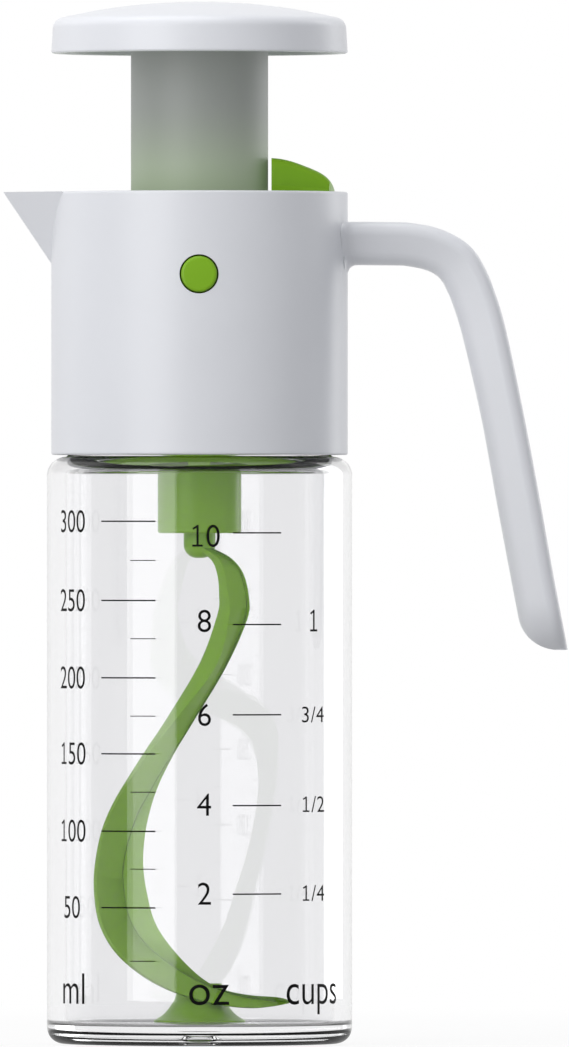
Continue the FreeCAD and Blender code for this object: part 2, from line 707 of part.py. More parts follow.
def make_lever():
    disc = ring(lever_bore_r, lever_r, z_lever, z_lever_top)
    tab_x = tube_r + TAB_TUBE_GAP
    tab_end = rim_bore_r - TAB_END_GAP
    tab_top = z_rim + TAB_RISE
    crest = [V(tab_x + u * (tab_end - tab_x), 0, z_rim + v * TAB_RISE) for u, v in TAB_CREST_SHARES]
    curve = Part.BSplineCurve()
    curve.interpolate(crest)
    spots = [crest[-1], V(tab_end, 0, z_lever), V(tab_x, 0, z_lever), V(tab_x, 0, tab_top)]
    edges = [curve.toShape()] + [Part.makeLine(a, b) for a, b in zip(spots, spots[1:])]
    tab = Part.Face(Part.Wire(edges)).extrude(V(0, TAB_WIDTH, 0))
    tab.translate(V(0, -TAB_WIDTH / 2, 0))
    tab = tab.common(cylinder(tab_end, z_lever, tab_top + OVERRUN))
    tab = tab.cut(cylinder(tube_r + TAB_TUBE_GAP, z_lever, tab_top + OVERRUN))
    sides = [edge for edge in tab.Edges if edge.BoundBox.ZMax > z_rim + TAB_RISE / 2
             and edge.BoundBox.YLength < SEAT_GAP and edge.BoundBox.XLength > (tab_end - tab_x) / 2]
    tab = tab.makeFillet(TAB_SIDE_R, sides)
    lid = sector(guide_bore_r + LID_EDGE, lever_r - LID_EDGE, z_seal_top, z_lever, 180, LID_HALF_DEG)
    lever = disc.fuse([tab, lid] + [make_lug(side) for side in (-1, 1)])
    return lever.removeSplitter()


def lug_span(side):
    """The lug's reach along Y, on the side asked for."""
    near = lever_bore_r + LUG_FROM_BORE
    return sorted((side * near, side * (near + LUG_WIDTH)))


def ear_span(side):
    near = lever_bore_r + LUG_FROM_BORE + LUG_WIDTH + SLIP_FIT
    return sorted((side * near, side * (near + EAR_WIDTH)))


def make_lug(side):
    low, high = lug_span(side)
    lug = rod(EAR_R, 0, z_pivot, low, high)
    lug = lug.fuse(block((-EAR_R, EAR_R), (low, high), (z_pivot, z_lever)))
    return lug.cut(rod(PIN_DIA / 2 + RUN_FIT, 0, z_pivot, low, high))


def make_ear(side):
    low, high = ear_span(side)
    ear = rod(EAR_R, 0, z_pivot, low, high)
    ear = ear.fuse(block((-EAR_R, EAR_R), (low, high), (z_deck_top, z_pivot)))
    return ear.cut(rod(PIN_DIA / 2 + PRESS_FIT, 0, z_pivot, low, high))


def make_pins():
    pins = []
    for side in (-1, 1):
        low = min(lug_span(side) + ear_span(side))
        high = max(lug_span(side) + ear_span(side))
        pins.append(rod(PIN_DIA / 2, 0, z_pivot, low, high))
    return Part.makeCompound(pins)


def make_seal():
    return sector(guide_bore_r + LID_EDGE, lever_r - LID_EDGE, z_deck_top + SEAT_GAP, z_seal_top,
                  180, LID_HALF_DEG)


def make_lever_spring():
    length = z_lever - (z_deck - POCKET_DEPTH + POCKET_WALL) - 2 * SEAT_GAP
    spring = coil(LEVER_WIRE, LEVER_COIL_DIA, LEVER_TURNS, length)
    spring.translate(V(pocket_x, 0, z_lever - SEAT_GAP - length))
    return spring


# Places along Y of the lock, from the plunger tube outwards
nose_y = -(stop_r + GUIDE_FIT)
slide_y = -(guide_r + LOCK_TRAVEL + SLIP_FIT)
slide_back_y = slide_y - SLIDE_THICK
bulkhead_y = slide_back_y - SLIP_FIT
bulkhead_back_y = bulkhead_y - BULKHEAD_THICK
flange_back_y = -math.sqrt(mid_bore_r ** 2 - (BUTTON_FLANGE_DIA / 2) ** 2) + SLIP_FIT
flange_y = flange_back_y + BUTTON_FLANGE_THICK


def make_deck():
    """Deck on the collar's shoulder, with guide sleeve, ears, spring pocket and lock runners."""
    deck = cylinder(deck_r, z_deck, z_deck_top).fuse(cylinder(guide_r, z_guide, z_deck))
    pocket = cylinder(pocket_r, z_deck - POCKET_DEPTH, z_deck, pocket_x)
    well = cylinder(pocket_r - POCKET_WALL, z_deck - POCKET_DEPTH + POCKET_WALL, z_deck_top + OVERRUN,
                    pocket_x)
    half = SLIDE_WIDTH / 2 + SLIP_FIT
    span_z = (z_button - RUNNER_BELOW, z_deck)
    runners = [block(sorted((side * half, side * (half + RUNNER_WALL))), (bulkhead_back_y, slide_y), span_z)
               for side in (-1, 1)]
    bulkhead = block((-half, half), (bulkhead_back_y, bulkhead_y), span_z)
    deck = deck.fuse([pocket, bulkhead] + runners + [make_ear(side) for side in (-1, 1)])
    groove_z = z_deck + (DECK_THICK - WIPER_THICK) / 2
    groove = cylinder(guide_bore_r + WIPER_WIDTH, groove_z, groove_z + WIPER_THICK)
    outlet = sector(guide_bore_r + LID_EDGE + OUTLET_EDGE, lever_r - LID_EDGE - OUTLET_EDGE,
                    z_deck - OVERRUN, z_deck_top + OVERRUN, 180, OUTLET_HALF_DEG)
    stem_hole = rod(BUTTON_STEM_DIA / 2 + SLIP_FIT, 0, z_button, bulkhead_back_y, bulkhead_y)
    bore = cylinder(guide_bore_r, z_guide - OVERRUN, z_deck_top + OVERRUN)
    return deck.cut([bore, groove, outlet, well, stem_hole]).removeSplitter()


def make_wiper():
    groove_z = z_deck + (DECK_THICK - WIPER_THICK) / 2
    return ring(tube_r + SEAT_GAP, guide_bore_r + WIPER_WIDTH - PRESS_FIT, groove_z, groove_z + WIPER_THICK)


def make_button():
    face_y = -collar_r - BUTTON_PROUD
    cap = rod(BUTTON_DIA / 2, 0, z_button, face_y, flange_back_y)
    front = [edge for edge in cap.Edges if edge.BoundBox.YMax < face_y + BUTTON_EDGE_R]
    cap = cap.makeFillet(BUTTON_EDGE_R, front)
    flange = rod(BUTTON_FLANGE_DIA / 2, 0, z_button, flange_back_y, flange_y)
    stem = rod(BUTTON_STEM_DIA / 2, 0, z_button, flange_y, slide_y)
    return cap.fuse([flange, stem]).removeSplitter()


def make_slide():
    z_nose = z_stop_top - stroke + SLIP_FIT
    half = SLIDE_WIDTH / 2
    plate = block((-half, half), (slide_back_y, slide_y), (z_nose, z_button + SLIDE_TOP))
    nose = block((-NOSE_WIDTH / 2, NOSE_WIDTH / 2), (slide_y, nose_y), (z_nose, z_nose + NOSE_HEIGHT))
    hole = rod(BUTTON_STEM_DIA / 2 + PRESS_FIT, 0, z_button, slide_back_y, slide_y)
    return plate.fuse(nose).cut(hole).removeSplitter()


def make_button_spring():
    length = bulkhead_back_y - flange_y - 2 * SEAT_GAP
    spring = coil(BUTTON_WIRE, BUTTON_COIL_DIA, BUTTON_TURNS, length)
    spring.rotate(ORIGIN, V(1, 0, 0), -90)
    spring.translate(V(0, flange_y + SEAT_GAP, z_button))
    return spring


MAKERS = {
    "bottle": make_bottle, "neck_gasket": make_gasket, "pouring_collar": make_collar,
    "neck_insert": make_insert, "hub_bush": make_bush, "drive_tube": make_drive_tube,
    "drive_nut": make_nut, "drive_spindle": make_spindle, "spring_cup": make_cup,
    "return_spring": make_return_spring, "plunger_tube": make_plunger_tube, "plunger_cap": make_cap,
    "stirrer": make_stirrer, "pour_lever": make_lever, "lever_pins": make_pins,
    "spout_seal": make_seal, "lever_spring": make_lever_spring, "guide_deck": make_deck,
    "plunger_wiper": make_wiper, "lock_button": make_button, "lock_slide": make_slide,
    "button_spring": make_button_spring,
}

os.makedirs("parts", exist_ok=True)
for name, maker in MAKERS.items():
    shape = maker()
    shape.exportStep("parts/" + name + ".step")
    box = shape.BoundBox
    print(name, "solids", len(shape.Solids), "valid", shape.isValid(), "volume", round(shape.Volume, 1),
          "z", round(box.ZMin, 2), round(box.ZMax, 2))
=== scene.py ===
# %% [markdown]
# # A pumped dressing mixer, dressed around its solids
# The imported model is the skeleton: it holds every piece in its place, in metres, with +Z up, the
# spout towards -X, the handle towards +X and the lock button towards -Y. This lesson puts finished
# surfaces on it: clear glass, white and green mouldings, a frosted tube and printed marks. The sizes
# of pieces are given in millimetres, and MM turns them into metres.

# %% Load the skeleton
import math

import bmesh
import bpy
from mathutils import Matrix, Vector


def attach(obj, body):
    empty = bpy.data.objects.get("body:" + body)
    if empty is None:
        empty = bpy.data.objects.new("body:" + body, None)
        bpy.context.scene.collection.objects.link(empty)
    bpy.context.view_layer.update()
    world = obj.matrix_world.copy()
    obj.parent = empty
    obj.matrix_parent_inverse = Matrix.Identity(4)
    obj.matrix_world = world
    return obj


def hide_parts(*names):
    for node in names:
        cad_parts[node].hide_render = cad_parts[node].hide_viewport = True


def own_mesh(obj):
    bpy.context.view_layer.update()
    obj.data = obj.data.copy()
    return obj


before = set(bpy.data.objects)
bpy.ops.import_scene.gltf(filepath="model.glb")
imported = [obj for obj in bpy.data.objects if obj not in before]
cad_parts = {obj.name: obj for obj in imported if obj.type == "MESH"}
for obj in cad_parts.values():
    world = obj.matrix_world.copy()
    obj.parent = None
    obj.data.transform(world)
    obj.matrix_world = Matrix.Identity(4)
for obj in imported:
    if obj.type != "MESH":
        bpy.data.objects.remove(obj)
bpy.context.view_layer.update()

MM = 0.001

# %% [markdown]
# ## Camera
# The picture looks straight at the front from far away, so upright edges stay upright and the base
# shows as a line. A long lens gives that flat look and still has a real place, so other views work.

# %% Camera
VIEW_CENTRE_X = 19.2
VIEW_CENTRE_Z = 117.5
VIEW_HEIGHT = 236.6
LENS = 900
SENSOR = 36

distance = VIEW_HEIGHT * LENS / SENSOR
bpy.ops.object.camera_add(location=(VIEW_CENTRE_X * MM, -distance * MM, VIEW_CENTRE_Z * MM),
                          rotation=(math.radians(90), 0, 0))
camera = bpy.context.object
camera.data.lens = LENS
camera.data.sensor_width = SENSOR
bpy.context.scene.camera = camera
bpy.context.scene.view_settings.view_transform = "Standard"
print("camera stands", round(distance), "mm away")

# %% [markdown]
# ## Colours and nodes
# Colours are written as they look on a screen. Shaders work with light, so one function turns the
# screen value into linear light. A second function adds a shader node, sets it and links it, and is
# what all the materials below are made with.

# %% Colours and nodes
def light(hex_colour):
    """Linear light of a screen colour such as #808080."""
    parts = [int(hex_colour[i:i + 2], 16) / 255 for i in (1, 3, 5)]
    return [c / 12.92 if c <= 0.04045 else ((c + 0.055) / 1.055) ** 2.4 for c in parts] + [1.0]


def add_node(tree, kind, settings=(), values=(), links=()):
    """A new node: first its options are set, then its values, then its inputs are linked."""
    node = tree.nodes.new(kind)
    for name, value in dict(settings).items():
        setattr(node, name, value)
    for socket, value in dict(values).items():
        node.inputs[socket].default_value = value
    for socket, source in dict(links).items():
        tree.links.new(node.inputs[socket], source)
    return node


print("mid grey in light:", round(light("#808080")[0], 3))

# %% [markdown]
# ## Studio
# Glass and gloss only show what stands around them. Behind the object hangs a white backdrop: it is
# what the camera sees, and what the glass bends towards us. Mirrored in the glass the room in front is
# dim, so black print and green plastic stay deep; the light that enters through the glass comes from
# all sides. The tall lamp on the left draws the bright stripe down the collar and the pale bands in
# the glass, two slimmer lamps behind light the edges, and one above lights the level tops.

# %% Rays in the room
# The room dims between these two directions of a ray, given by its share along Y.
BACK_Y = -0.35
FRONT_Y = 0.25
MIRRORED_FRONT = 0.2


def room_level(tree, path):
    """Brightness of the room for a bent ray: white, but dimmer in front of the object if mirrored."""
    ray = add_node(tree, "ShaderNodeNewGeometry")
    split = add_node(tree, "ShaderNodeSeparateXYZ", links={0: ray.outputs["Incoming"]})
    mirrored = add_node(tree, "ShaderNodeMapRange", {"interpolation_type": "SMOOTHSTEP"},
                        {"From Min": BACK_Y, "From Max": FRONT_Y, "To Min": 1.0, "To Max": MIRRORED_FRONT},
                        {"Value": split.outputs["Y"]})
    level = add_node(tree, "ShaderNodeMix", values={"B": 1.0}, links={
        "Factor": path.outputs["Is Transmission Ray"], "A": mirrored.outputs[0]})
    return level.outputs[0]


print("mirrored, the front of the room has", MIRRORED_FRONT, "of the backdrop's light")

# %% Surroundings
SOFT_LEVEL = 0.56
world = bpy.data.worlds.new("white_backdrop")
bpy.context.scene.world = world
world.use_nodes = True
tree = world.node_tree
tree.nodes.clear()
path = add_node(tree, "ShaderNodeLightPath")
bent = add_node(tree, "ShaderNodeMath", {"operation": "MAXIMUM"},
                links={0: path.outputs["Is Transmission Ray"], 1: path.outputs["Is Glossy Ray"]})
room = add_node(tree, "ShaderNodeBackground", values={"Color": light("#FFFFFF")},
                links={"Strength": room_level(tree, path)})
soft = add_node(tree, "ShaderNodeBackground", values={"Color": light("#F4F6FA"), "Strength": SOFT_LEVEL})
white = add_node(tree, "ShaderNodeBackground", values={"Color": light("#FFFFFF"), "Strength": 1.0})
lit = add_node(tree, "ShaderNodeMixShader",
               links={0: bent.outputs[0], 1: soft.outputs[0], 2: room.outputs[0]})
seen = add_node(tree, "ShaderNodeMixShader",
                links={0: path.outputs["Is Camera Ray"], 1: lit.outputs[0], 2: white.outputs[0]})
add_node(tree, "ShaderNodeOutputWorld", links={"Surface": seen.outputs[0]})
print("surroundings:", world.name)

# %% Lamps
# name, turn from the front towards the handle, distance, height, width, tallness (metres), brightness
LAMPS = [("key", -37, 1.3, 0.3, 0.9, 1.3, 2.25), ("rim_right", 128, 1.1, 0.3, 0.4, 1.2, 1.6),
         ("rim_left", -116, 1.1, 0.3, 0.12, 1.2, 0.7), ("top", -60, 0.25, 1.2, 0.9, 0.9, 1.9)]
AIM = Vector((0, 0, 0.13))
for name, turn, away, height, width, tall, bright in LAMPS:
    spot = Vector((away * math.sin(math.radians(turn)), -away * math.cos(math.radians(turn)), height))
    bpy.ops.object.light_add(type="AREA", location=spot)
    lamp = bpy.context.object
    lamp.name = name
    lamp.data.shape = "RECTANGLE"
    lamp.data.size = width
    lamp.data.size_y = tall
    lamp.data.energy = bright * math.pi * width * tall
    lamp.rotation_euler = (AIM - spot).to_track_quat("-Z", "Y").to_euler()
print("lamps:", len(LAMPS))

# %% [markdown]
# ## Floor
# A pale sheet under the bottle. To the camera it glows almost white, wholly white towards its rim, and
# the part that doesn't glow still takes the shadow. Bent rays see it as bright as the room, except
# close to the bottle: there a painted shade dims its glow, which is what greys the thick base. It
# throws only a little light back up, so the undersides of the handle and the spout stay dark.

# %% Floor material
# Distances from the middle of the floor, in metres.
SHADE_R = 0.036
CLEAR_R = 0.08
SHADOW_R = 0.2
WHITE_R = 0.5
# Shares of full brightness.
SHADE_LEVEL = 0.32
GLOW_SHARE = 0.9
paper = bpy.data.materials.new("white_paper_sheet")
paper.use_nodes = True
tree = paper.node_tree
tree.nodes.clear()
path = add_node(tree, "ShaderNodeLightPath")
bent = add_node(tree, "ShaderNodeMath", {"operation": "MAXIMUM"},
                links={0: path.outputs["Is Glossy Ray"], 1: path.outputs["Is Transmission Ray"]})
where = add_node(tree, "ShaderNodeTexCoord")
away = add_node(tree, "ShaderNodeVectorMath", {"operation": "LENGTH"}, links={0: where.outputs["Object"]})
# Which share of the sheet glows, for the camera and for bent rays.
shown = add_node(tree, "ShaderNodeMath", {"operation": "MAXIMUM"},
                 links={0: path.outputs["Is Camera Ray"], 1: bent.outputs[0]})
fade = add_node(tree, "ShaderNodeMapRange", {"interpolation_type": "SMOOTHSTEP"},
                {"From Min": SHADOW_R, "From Max": WHITE_R, "To Min": GLOW_SHARE},
                {"Value": away.outputs["Value"]})
share = add_node(tree, "ShaderNodeMath", {"operation": "MULTIPLY"},
                 links={0: shown.outputs[0], 1: fade.outputs[0]})
# How bright the glow is: full for the camera, the room's level for bent rays, with a painted shade near the
# bottle.
shade = add_node(tree, "ShaderNodeMapRange", {"interpolation_type": "SMOOTHSTEP"},
                 {"From Min": SHADE_R, "From Max": CLEAR_R, "To Min": SHADE_LEVEL},
                 {"Value": away.outputs["Value"]})
shaded = add_node(tree, "ShaderNodeMath", {"operation": "MULTIPLY"},
                  links={0: shade.outputs[0], 1: room_level(tree, path)})
level = add_node(tree, "ShaderNodeMix", values={"A": 1.0},
                 links={"Factor": bent.outputs[0], "B": shaded.outputs[0]})
glow = add_node(tree, "ShaderNodeEmission", values={"Color": light("#FFFFFF")},
                links={"Strength": level.outputs[0]})
# The paper itself is darker for the light that it would throw back at the object.
tone = add_node(tree, "ShaderNodeMix", {"data_type": "RGBA"},
                {"A": light("#F2F2F2"), "B": light("#A8A8A8")},
                {"Factor": path.outputs["Is Diffuse Ray"]})
matt = add_node(tree, "ShaderNodeBsdfDiffuse", links={"Color": tone.outputs["Result"]})
sheet = add_node(tree, "ShaderNodeMixShader",
                 links={0: share.outputs[0], 1: matt.outputs[0], 2: glow.outputs[0]})
add_node(tree, "ShaderNodeOutputMaterial", links={"Surface": sheet.outputs[0]})
print("material:", paper.name)

# %% Floor sheet
FLOOR_R = 0.6
FLOOR_DROP = 0.0003
bpy.ops.object.select_all(action="DESELECT")
bpy.ops.mesh.primitive_circle_add(vertices=96, radius=FLOOR_R, fill_type="NGON",
                                  location=(0, 0, -FLOOR_DROP))
floor = bpy.context.object
floor.name = "floor"
floor.data.materials.append(paper)
print("floor:", FLOOR_R * 2, "m across")

# %% [markdown]
# ## Clear glass
# Pressed soda-lime glass is smooth and clear, with an IOR of about 1.5. A very light grey tint darkens
# the thick base, where light travels furthest. Pressing leaves slow waves in the surface, some 12 mm
# long and far too shallow to feel, which is what makes its reflections swim a little.

# %% Clear glass
def principled(name, values):
    """A material with a Principled shader, ready for the patterns that vary it."""
    made = bpy.data.materials.new(name)
    made.use_nodes = True
    tree = made.node_tree
    tree.nodes.clear()
    shader = add_node(tree, "ShaderNodeBsdfPrincipled", values=values)
    add_node(tree, "ShaderNodeOutputMaterial", links={"Surface": shader.outputs[0]})
    return made, tree, shader


def per_metre(size_mm):
    """Pattern scale on Object coordinates for one feature each size_mm."""
    return 1 / (size_mm * MM)


WAVE_MM = 12
WAVE_HEIGHT = 0.2
glass, tree, shader = principled("pressed_soda_lime_glass", {
    "Base Color": light("#F4F4F5"), "Roughness": 0.0, "IOR": 1.5, "Transmission Weight": 1.0})
where = add_node(tree, "ShaderNodeTexCoord")
waves = add_node(tree, "ShaderNodeTexNoise", values={"Scale": per_metre(WAVE_MM), "Detail": 1.0},
                 links={"Vector": where.outputs["Object"]})
bump = add_node(tree, "ShaderNodeBump", values={"Strength": 0.02, "Distance": WAVE_HEIGHT * MM},
                links={"Height": waves.outputs[0]})
tree.links.new(shader.inputs["Normal"], bump.outputs[0])
print("material:", glass.name)

# %% [markdown]
# ## White and green mouldings
# Both are ABS from a polished mould: a soft gloss, roughness near 0.3, IOR about 1.53. The eye sees a
# faint orange-peel in the highlights, grains of about 0.6 mm, and the gloss varies slowly over some
# 15 mm where hands and the mould have dulled it. The colour itself barely changes. Small inner
# mouldings are of acetal, which is duller, and seals of silicone, which lets some light through.

# %% Moulded plastics
ABS_IOR = 1.53
ROUGHNESS_SPREAD = 0.05
PEEL_HEIGHT = 0.02


def moulded(name, colour, deep, roughness, peel_mm, cloud_mm, extra=()):
    """Plastic whose tint and gloss follow slow clouds and whose skin has a fine peel."""
    made, tree, shader = principled(name, {"IOR": ABS_IOR, "Roughness": roughness, **dict(extra)})
    where = add_node(tree, "ShaderNodeTexCoord")
    clouds = add_node(tree, "ShaderNodeTexNoise", values={"Scale": per_metre(cloud_mm), "Detail": 3.0},
                      links={"Vector": where.outputs["Object"]})
    tint = add_node(tree, "ShaderNodeMix", {"data_type": "RGBA"},
                    {"A": light(deep), "B": light(colour)}, {"Factor": clouds.outputs[0]})
    tree.links.new(shader.inputs["Base Color"], tint.outputs["Result"])
    gloss = {"To Min": roughness - ROUGHNESS_SPREAD, "To Max": roughness + ROUGHNESS_SPREAD}
    dull = add_node(tree, "ShaderNodeMapRange", values=gloss, links={"Value": clouds.outputs[0]})
    tree.links.new(shader.inputs["Roughness"], dull.outputs[0])
    peel = add_node(tree, "ShaderNodeTexNoise", values={"Scale": per_metre(peel_mm), "Detail": 2.0},
                    links={"Vector": where.outputs["Object"]})
    bump = add_node(tree, "ShaderNodeBump", values={"Strength": 0.05, "Distance": PEEL_HEIGHT * MM},
                    links={"Height": peel.outputs[0]})
    tree.links.new(shader.inputs["Normal"], bump.outputs[0])
    return made


white_abs = moulded("moulded_white_abs", "#E9EAEE", "#E4E5E9", roughness=0.34, peel_mm=0.6, cloud_mm=15)
green_abs = moulded("moulded_leaf_green_abs", "#86BA22", "#7FB11E", roughness=0.3, peel_mm=0.6, cloud_mm=12,
                    extra={"Specular IOR Level": 0.3})
acetal = moulded("moulded_natural_acetal", "#EDECE6", "#E6E5DE", roughness=0.42, peel_mm=0.8, cloud_mm=10)
silicone = moulded("moulded_clear_silicone", "#DADCDB", "#D2D4D3", roughness=0.5, peel_mm=0.4, cloud_mm=8,
                   extra={"IOR": 1.41, "Transmission Weight": 0.35})
print("materials:", ", ".join(made.name for made in (white_abs, green_abs, acetal, silicone)))

# %% [markdown]
# ## Frosted tube
# The plunger tube is plastic with a fine etched skin: light gets in but is scattered. Its colour is
# painted light: lighter and greener at the bottom, fading upwards over some 20 mm into grey, for the
# green light from the drive inside. A faint painted glow of the same colour stands for light running
# inside the wall and lifts the side shaded by the lever's tab. Etching grains are drawn 0.2 mm here,
# coarser than real ones so that they show.

# %% Frosted plastic
# Heights between which the painted green light and glow fade, in metres.
PAINTED_LIGHT_LOW = 0.192
PAINTED_LIGHT_HIGH = 0.214
ETCH_MM = 0.2
ETCH_HEIGHT = 0.03
# The emission is a painted glow, and the base colour below is painted light, lighter and greener at the
# bottom.
frosted, tree, shader = principled("etched_frosted_san", {
    "IOR": 1.57, "Transmission Weight": 0.15, "Emission Strength": 0.14})
where = add_node(tree, "ShaderNodeTexCoord")
split = add_node(tree, "ShaderNodeSeparateXYZ", links={0: where.outputs["Object"]})
painted_light_rise = add_node(tree, "ShaderNodeMapRange", {"interpolation_type": "SMOOTHSTEP"},
                {"From Min": PAINTED_LIGHT_LOW, "From Max": PAINTED_LIGHT_HIGH}, {"Value": split.outputs["Z"]})
# Painted light: a lighter green at the bottom that fades into grey further up.
tint = add_node(tree, "ShaderNodeMix", {"data_type": "RGBA"},
                {"A": light("#AEB9A4"), "B": light("#999C99")}, {"Factor": painted_light_rise.outputs[0]})
tree.links.new(shader.inputs["Base Color"], tint.outputs["Result"])
tree.links.new(shader.inputs["Emission Color"], tint.outputs["Result"])
grain = add_node(tree, "ShaderNodeTexNoise", values={"Scale": per_metre(ETCH_MM), "Detail": 2.0},
                 links={"Vector": where.outputs["Object"]})
dull = add_node(tree, "ShaderNodeMapRange", values={"To Min": 0.45, "To Max": 0.6},
                links={"Value": grain.outputs[0]})
tree.links.new(shader.inputs["Roughness"], dull.outputs[0])
bump = add_node(tree, "ShaderNodeBump", values={"Strength": 0.2, "Distance": ETCH_HEIGHT * MM},
                links={"Height": grain.outputs[0]})
tree.links.new(shader.inputs["Normal"], bump.outputs[0])
print("material:", frosted.name)

# %% [markdown]
# ## Spring wire
# Drawn stainless wire is bright, with a fine mottle of about 0.4 mm that the die leaves on it.

# %% Spring wire
MOTTLE_MM = 0.4
MOTTLE_HEIGHT = 0.01
steel, tree, shader = principled("drawn_stainless_wire", {
    "Base Color": light("#C4C5C7"), "Metallic": 1.0, "Roughness": 0.28})
where = add_node(tree, "ShaderNodeTexCoord")
mottle = add_node(tree, "ShaderNodeTexNoise", values={"Scale": per_metre(MOTTLE_MM), "Detail": 3.0},
                  links={"Vector": where.outputs["Object"]})
dull = add_node(tree, "ShaderNodeMapRange", values={"To Min": 0.2, "To Max": 0.36},
                links={"Value": mottle.outputs[0]})
tree.links.new(shader.inputs["Roughness"], dull.outputs[0])
bump = add_node(tree, "ShaderNodeBump", values={"Strength": 0.15, "Distance": MOTTLE_HEIGHT * MM},
                links={"Height": mottle.outputs[0]})
tree.links.new(shader.inputs["Normal"], bump.outputs[0])
print("material:", steel.name)

# %% [markdown]
# ## Ink
# The scale is screen-printed: a matt black film, a little uneven in grains of about 0.3 mm.

# %% Ink
PORE_MM = 0.3
PORE_HEIGHT = 0.01
ink, tree, shader = principled("screen_printed_black_ink", {"Specular IOR Level": 0.15, "Roughness": 0.55})
where = add_node(tree, "ShaderNodeTexCoord")
pores = add_node(tree, "ShaderNodeTexNoise", values={"Scale": per_metre(PORE_MM), "Detail": 2.0},
                 links={"Vector": where.outputs["Object"]})
tint = add_node(tree, "ShaderNodeMix", {"data_type": "RGBA"},
                {"A": light("#050505"), "B": light("#101011")}, {"Factor": pores.outputs[0]})
tree.links.new(shader.inputs["Base Color"], tint.outputs["Result"])
dull = add_node(tree, "ShaderNodeMapRange", values={"To Min": 0.5, "To Max": 0.65},
                links={"Value": pores.outputs[0]})
tree.links.new(shader.inputs["Roughness"], dull.outputs[0])
bump = add_node(tree, "ShaderNodeBump", values={"Strength": 0.1, "Distance": PORE_HEIGHT * MM},
                links={"Height": pores.outputs[0]})
tree.links.new(shader.inputs["Normal"], bump.outputs[0])
print("material:", ink.name)

# %% [markdown]
# ## Rounded outlines
# Every section starts as a list of corners, each with the radius of its round. The rounds are worked
# out in short steps. A holding point beside each end of a round keeps the flat next to it flat when
# the piece is shaded smooth.

# %% Rounded outlines
HOLD = 0.1


def round_corners(corners, steps):
    """Closed outline through corners (x, y, radius), each corner rounded in short steps."""
    points = []
    for i, (x, y, radius) in enumerate(corners):
        here = Vector((x, y))
        if not radius:
            points.append((x, y))
            continue
        back = (Vector(corners[i - 1][:2]) - here).normalized()
        ahead = (Vector(corners[(i + 1) % len(corners)][:2]) - here).normalized()
        half = back.angle(ahead) / 2
        middle = here + (back + ahead).normalized() * radius / math.sin(half)
        reach = radius / math.tan(half)
        first = here + back * reach - middle
        last = here + ahead * reach - middle
        points.append(here + back * (reach + HOLD * radius))
        begin = math.atan2(first.y, first.x)
        sweep = (math.atan2(last.y, last.x) - begin + math.pi) % (2 * math.pi) - math.pi
        for step in range(steps + 1):
            angle = begin + sweep * step / steps
            points.append((middle.x + radius * math.cos(angle), middle.y + radius * math.sin(angle)))
        points.append(here + ahead * (reach + HOLD * radius))
    return [tuple(point) for point in points]


SQUARE = [(0, 0, 1), (9, 0, 1), (9, 9, 1), (0, 9, 1)]
print("a rounded square has", len(round_corners(SQUARE, steps=4)), "points")

# %% [markdown]
# ## Clean, smooth and dressed
# Cuts and bevels can leave points on top of each other and faces without area. Both are taken out
# before the shading is smoothed, so that every piece is a closed skin. A finished piece is dressed:
# it gets its material, rides on its body and takes the place of its solid.

# %% Clean, smooth and dressed
CLEAN_GAP = MM / 500


def pick(piece):
    bpy.ops.object.select_all(action="DESELECT")
    piece.select_set(True)
    bpy.context.view_layer.objects.active = piece


def clean(piece):
    """Merges points that lie on each other and takes out faces without area."""
    pick(piece)
    bpy.ops.object.mode_set(mode="EDIT")
    bpy.ops.mesh.select_all(action="SELECT")
    bpy.ops.mesh.remove_doubles(threshold=CLEAN_GAP)
    bpy.ops.mesh.dissolve_degenerate(threshold=CLEAN_GAP)
    bpy.ops.mesh.select_all(action="SELECT")
    bpy.ops.mesh.normals_make_consistent(inside=False)
    bpy.ops.object.mode_set(mode="OBJECT")


def smooth(piece, angle=35):
    """Smooth shading, apart from edges sharper than the angle."""
    clean(piece)
    bpy.ops.object.shade_smooth_by_angle(angle=math.radians(angle))


def dress(piece, body, slot, material, *nodes):
    """Gives a piece its finish, lets it ride on a body and stand for its solids."""
    piece.data.materials.clear()
    piece.data.materials.append(material)
    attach(piece, body)
    if nodes:
        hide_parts(*nodes)
    print(piece.name, len(piece.data.polygons), "faces")


print("points nearer than", CLEAN_GAP / MM, "mm are merged")

# %% [markdown]
# ## Tool for the turned pieces
# Most of the object was turned or moulded round one axis. By hand you would draw half the outline and
# use Spin. Here a circle primitive lends its ring of points: the points are moved onto the outline,
# the ring is spun round Z, doubles are merged and the normals are turned outwards.

# %% Turned pieces
MERGE_GAP = MM / 1000


def ring_of(name, outline):
    """A ring of points in the plane through the axis, at (radius, height) of the outline."""
    bpy.ops.object.select_all(action="DESELECT")
    bpy.ops.mesh.primitive_circle_add(vertices=len(outline), radius=MM, fill_type="NOTHING")
    piece = bpy.context.object
    piece.name = name
    for point, (radius, height) in zip(piece.data.vertices, outline):
        point.co = (radius * MM, 0, height * MM)
    return piece


def turned(name, corners, sides=128, steps=8):
    """Closed turning of an outline given by corners (radius, height, round)."""
    piece = ring_of(name, round_corners(corners, steps))
    bpy.ops.object.mode_set(mode="EDIT")
    bpy.ops.mesh.select_all(action="SELECT")
    bpy.ops.mesh.spin(steps=sides, angle=2 * math.pi, center=(0, 0, 0), axis=(0, 0, 1))
    bpy.ops.mesh.select_all(action="SELECT")
    bpy.ops.mesh.remove_doubles(threshold=MERGE_GAP)
    bpy.ops.mesh.delete_loose()
    bpy.ops.mesh.select_all(action="SELECT")
    bpy.ops.mesh.normals_make_consistent(inside=False)
    bpy.ops.object.mode_set(mode="OBJECT")
    smooth(piece)
    return piece


print("doubles of a turning are merged at", MERGE_GAP / MM, "mm")

# %% [markdown]
# ## Tools for winding, joining and cutting
# A thread or a spring is a small section carried round the axis while it climbs, which is what the
# Screw modifier does. The two open ends are filled, so that the piece is closed. Two closed pieces are
# joined, or one is cut out of the other, by a Boolean modifier.

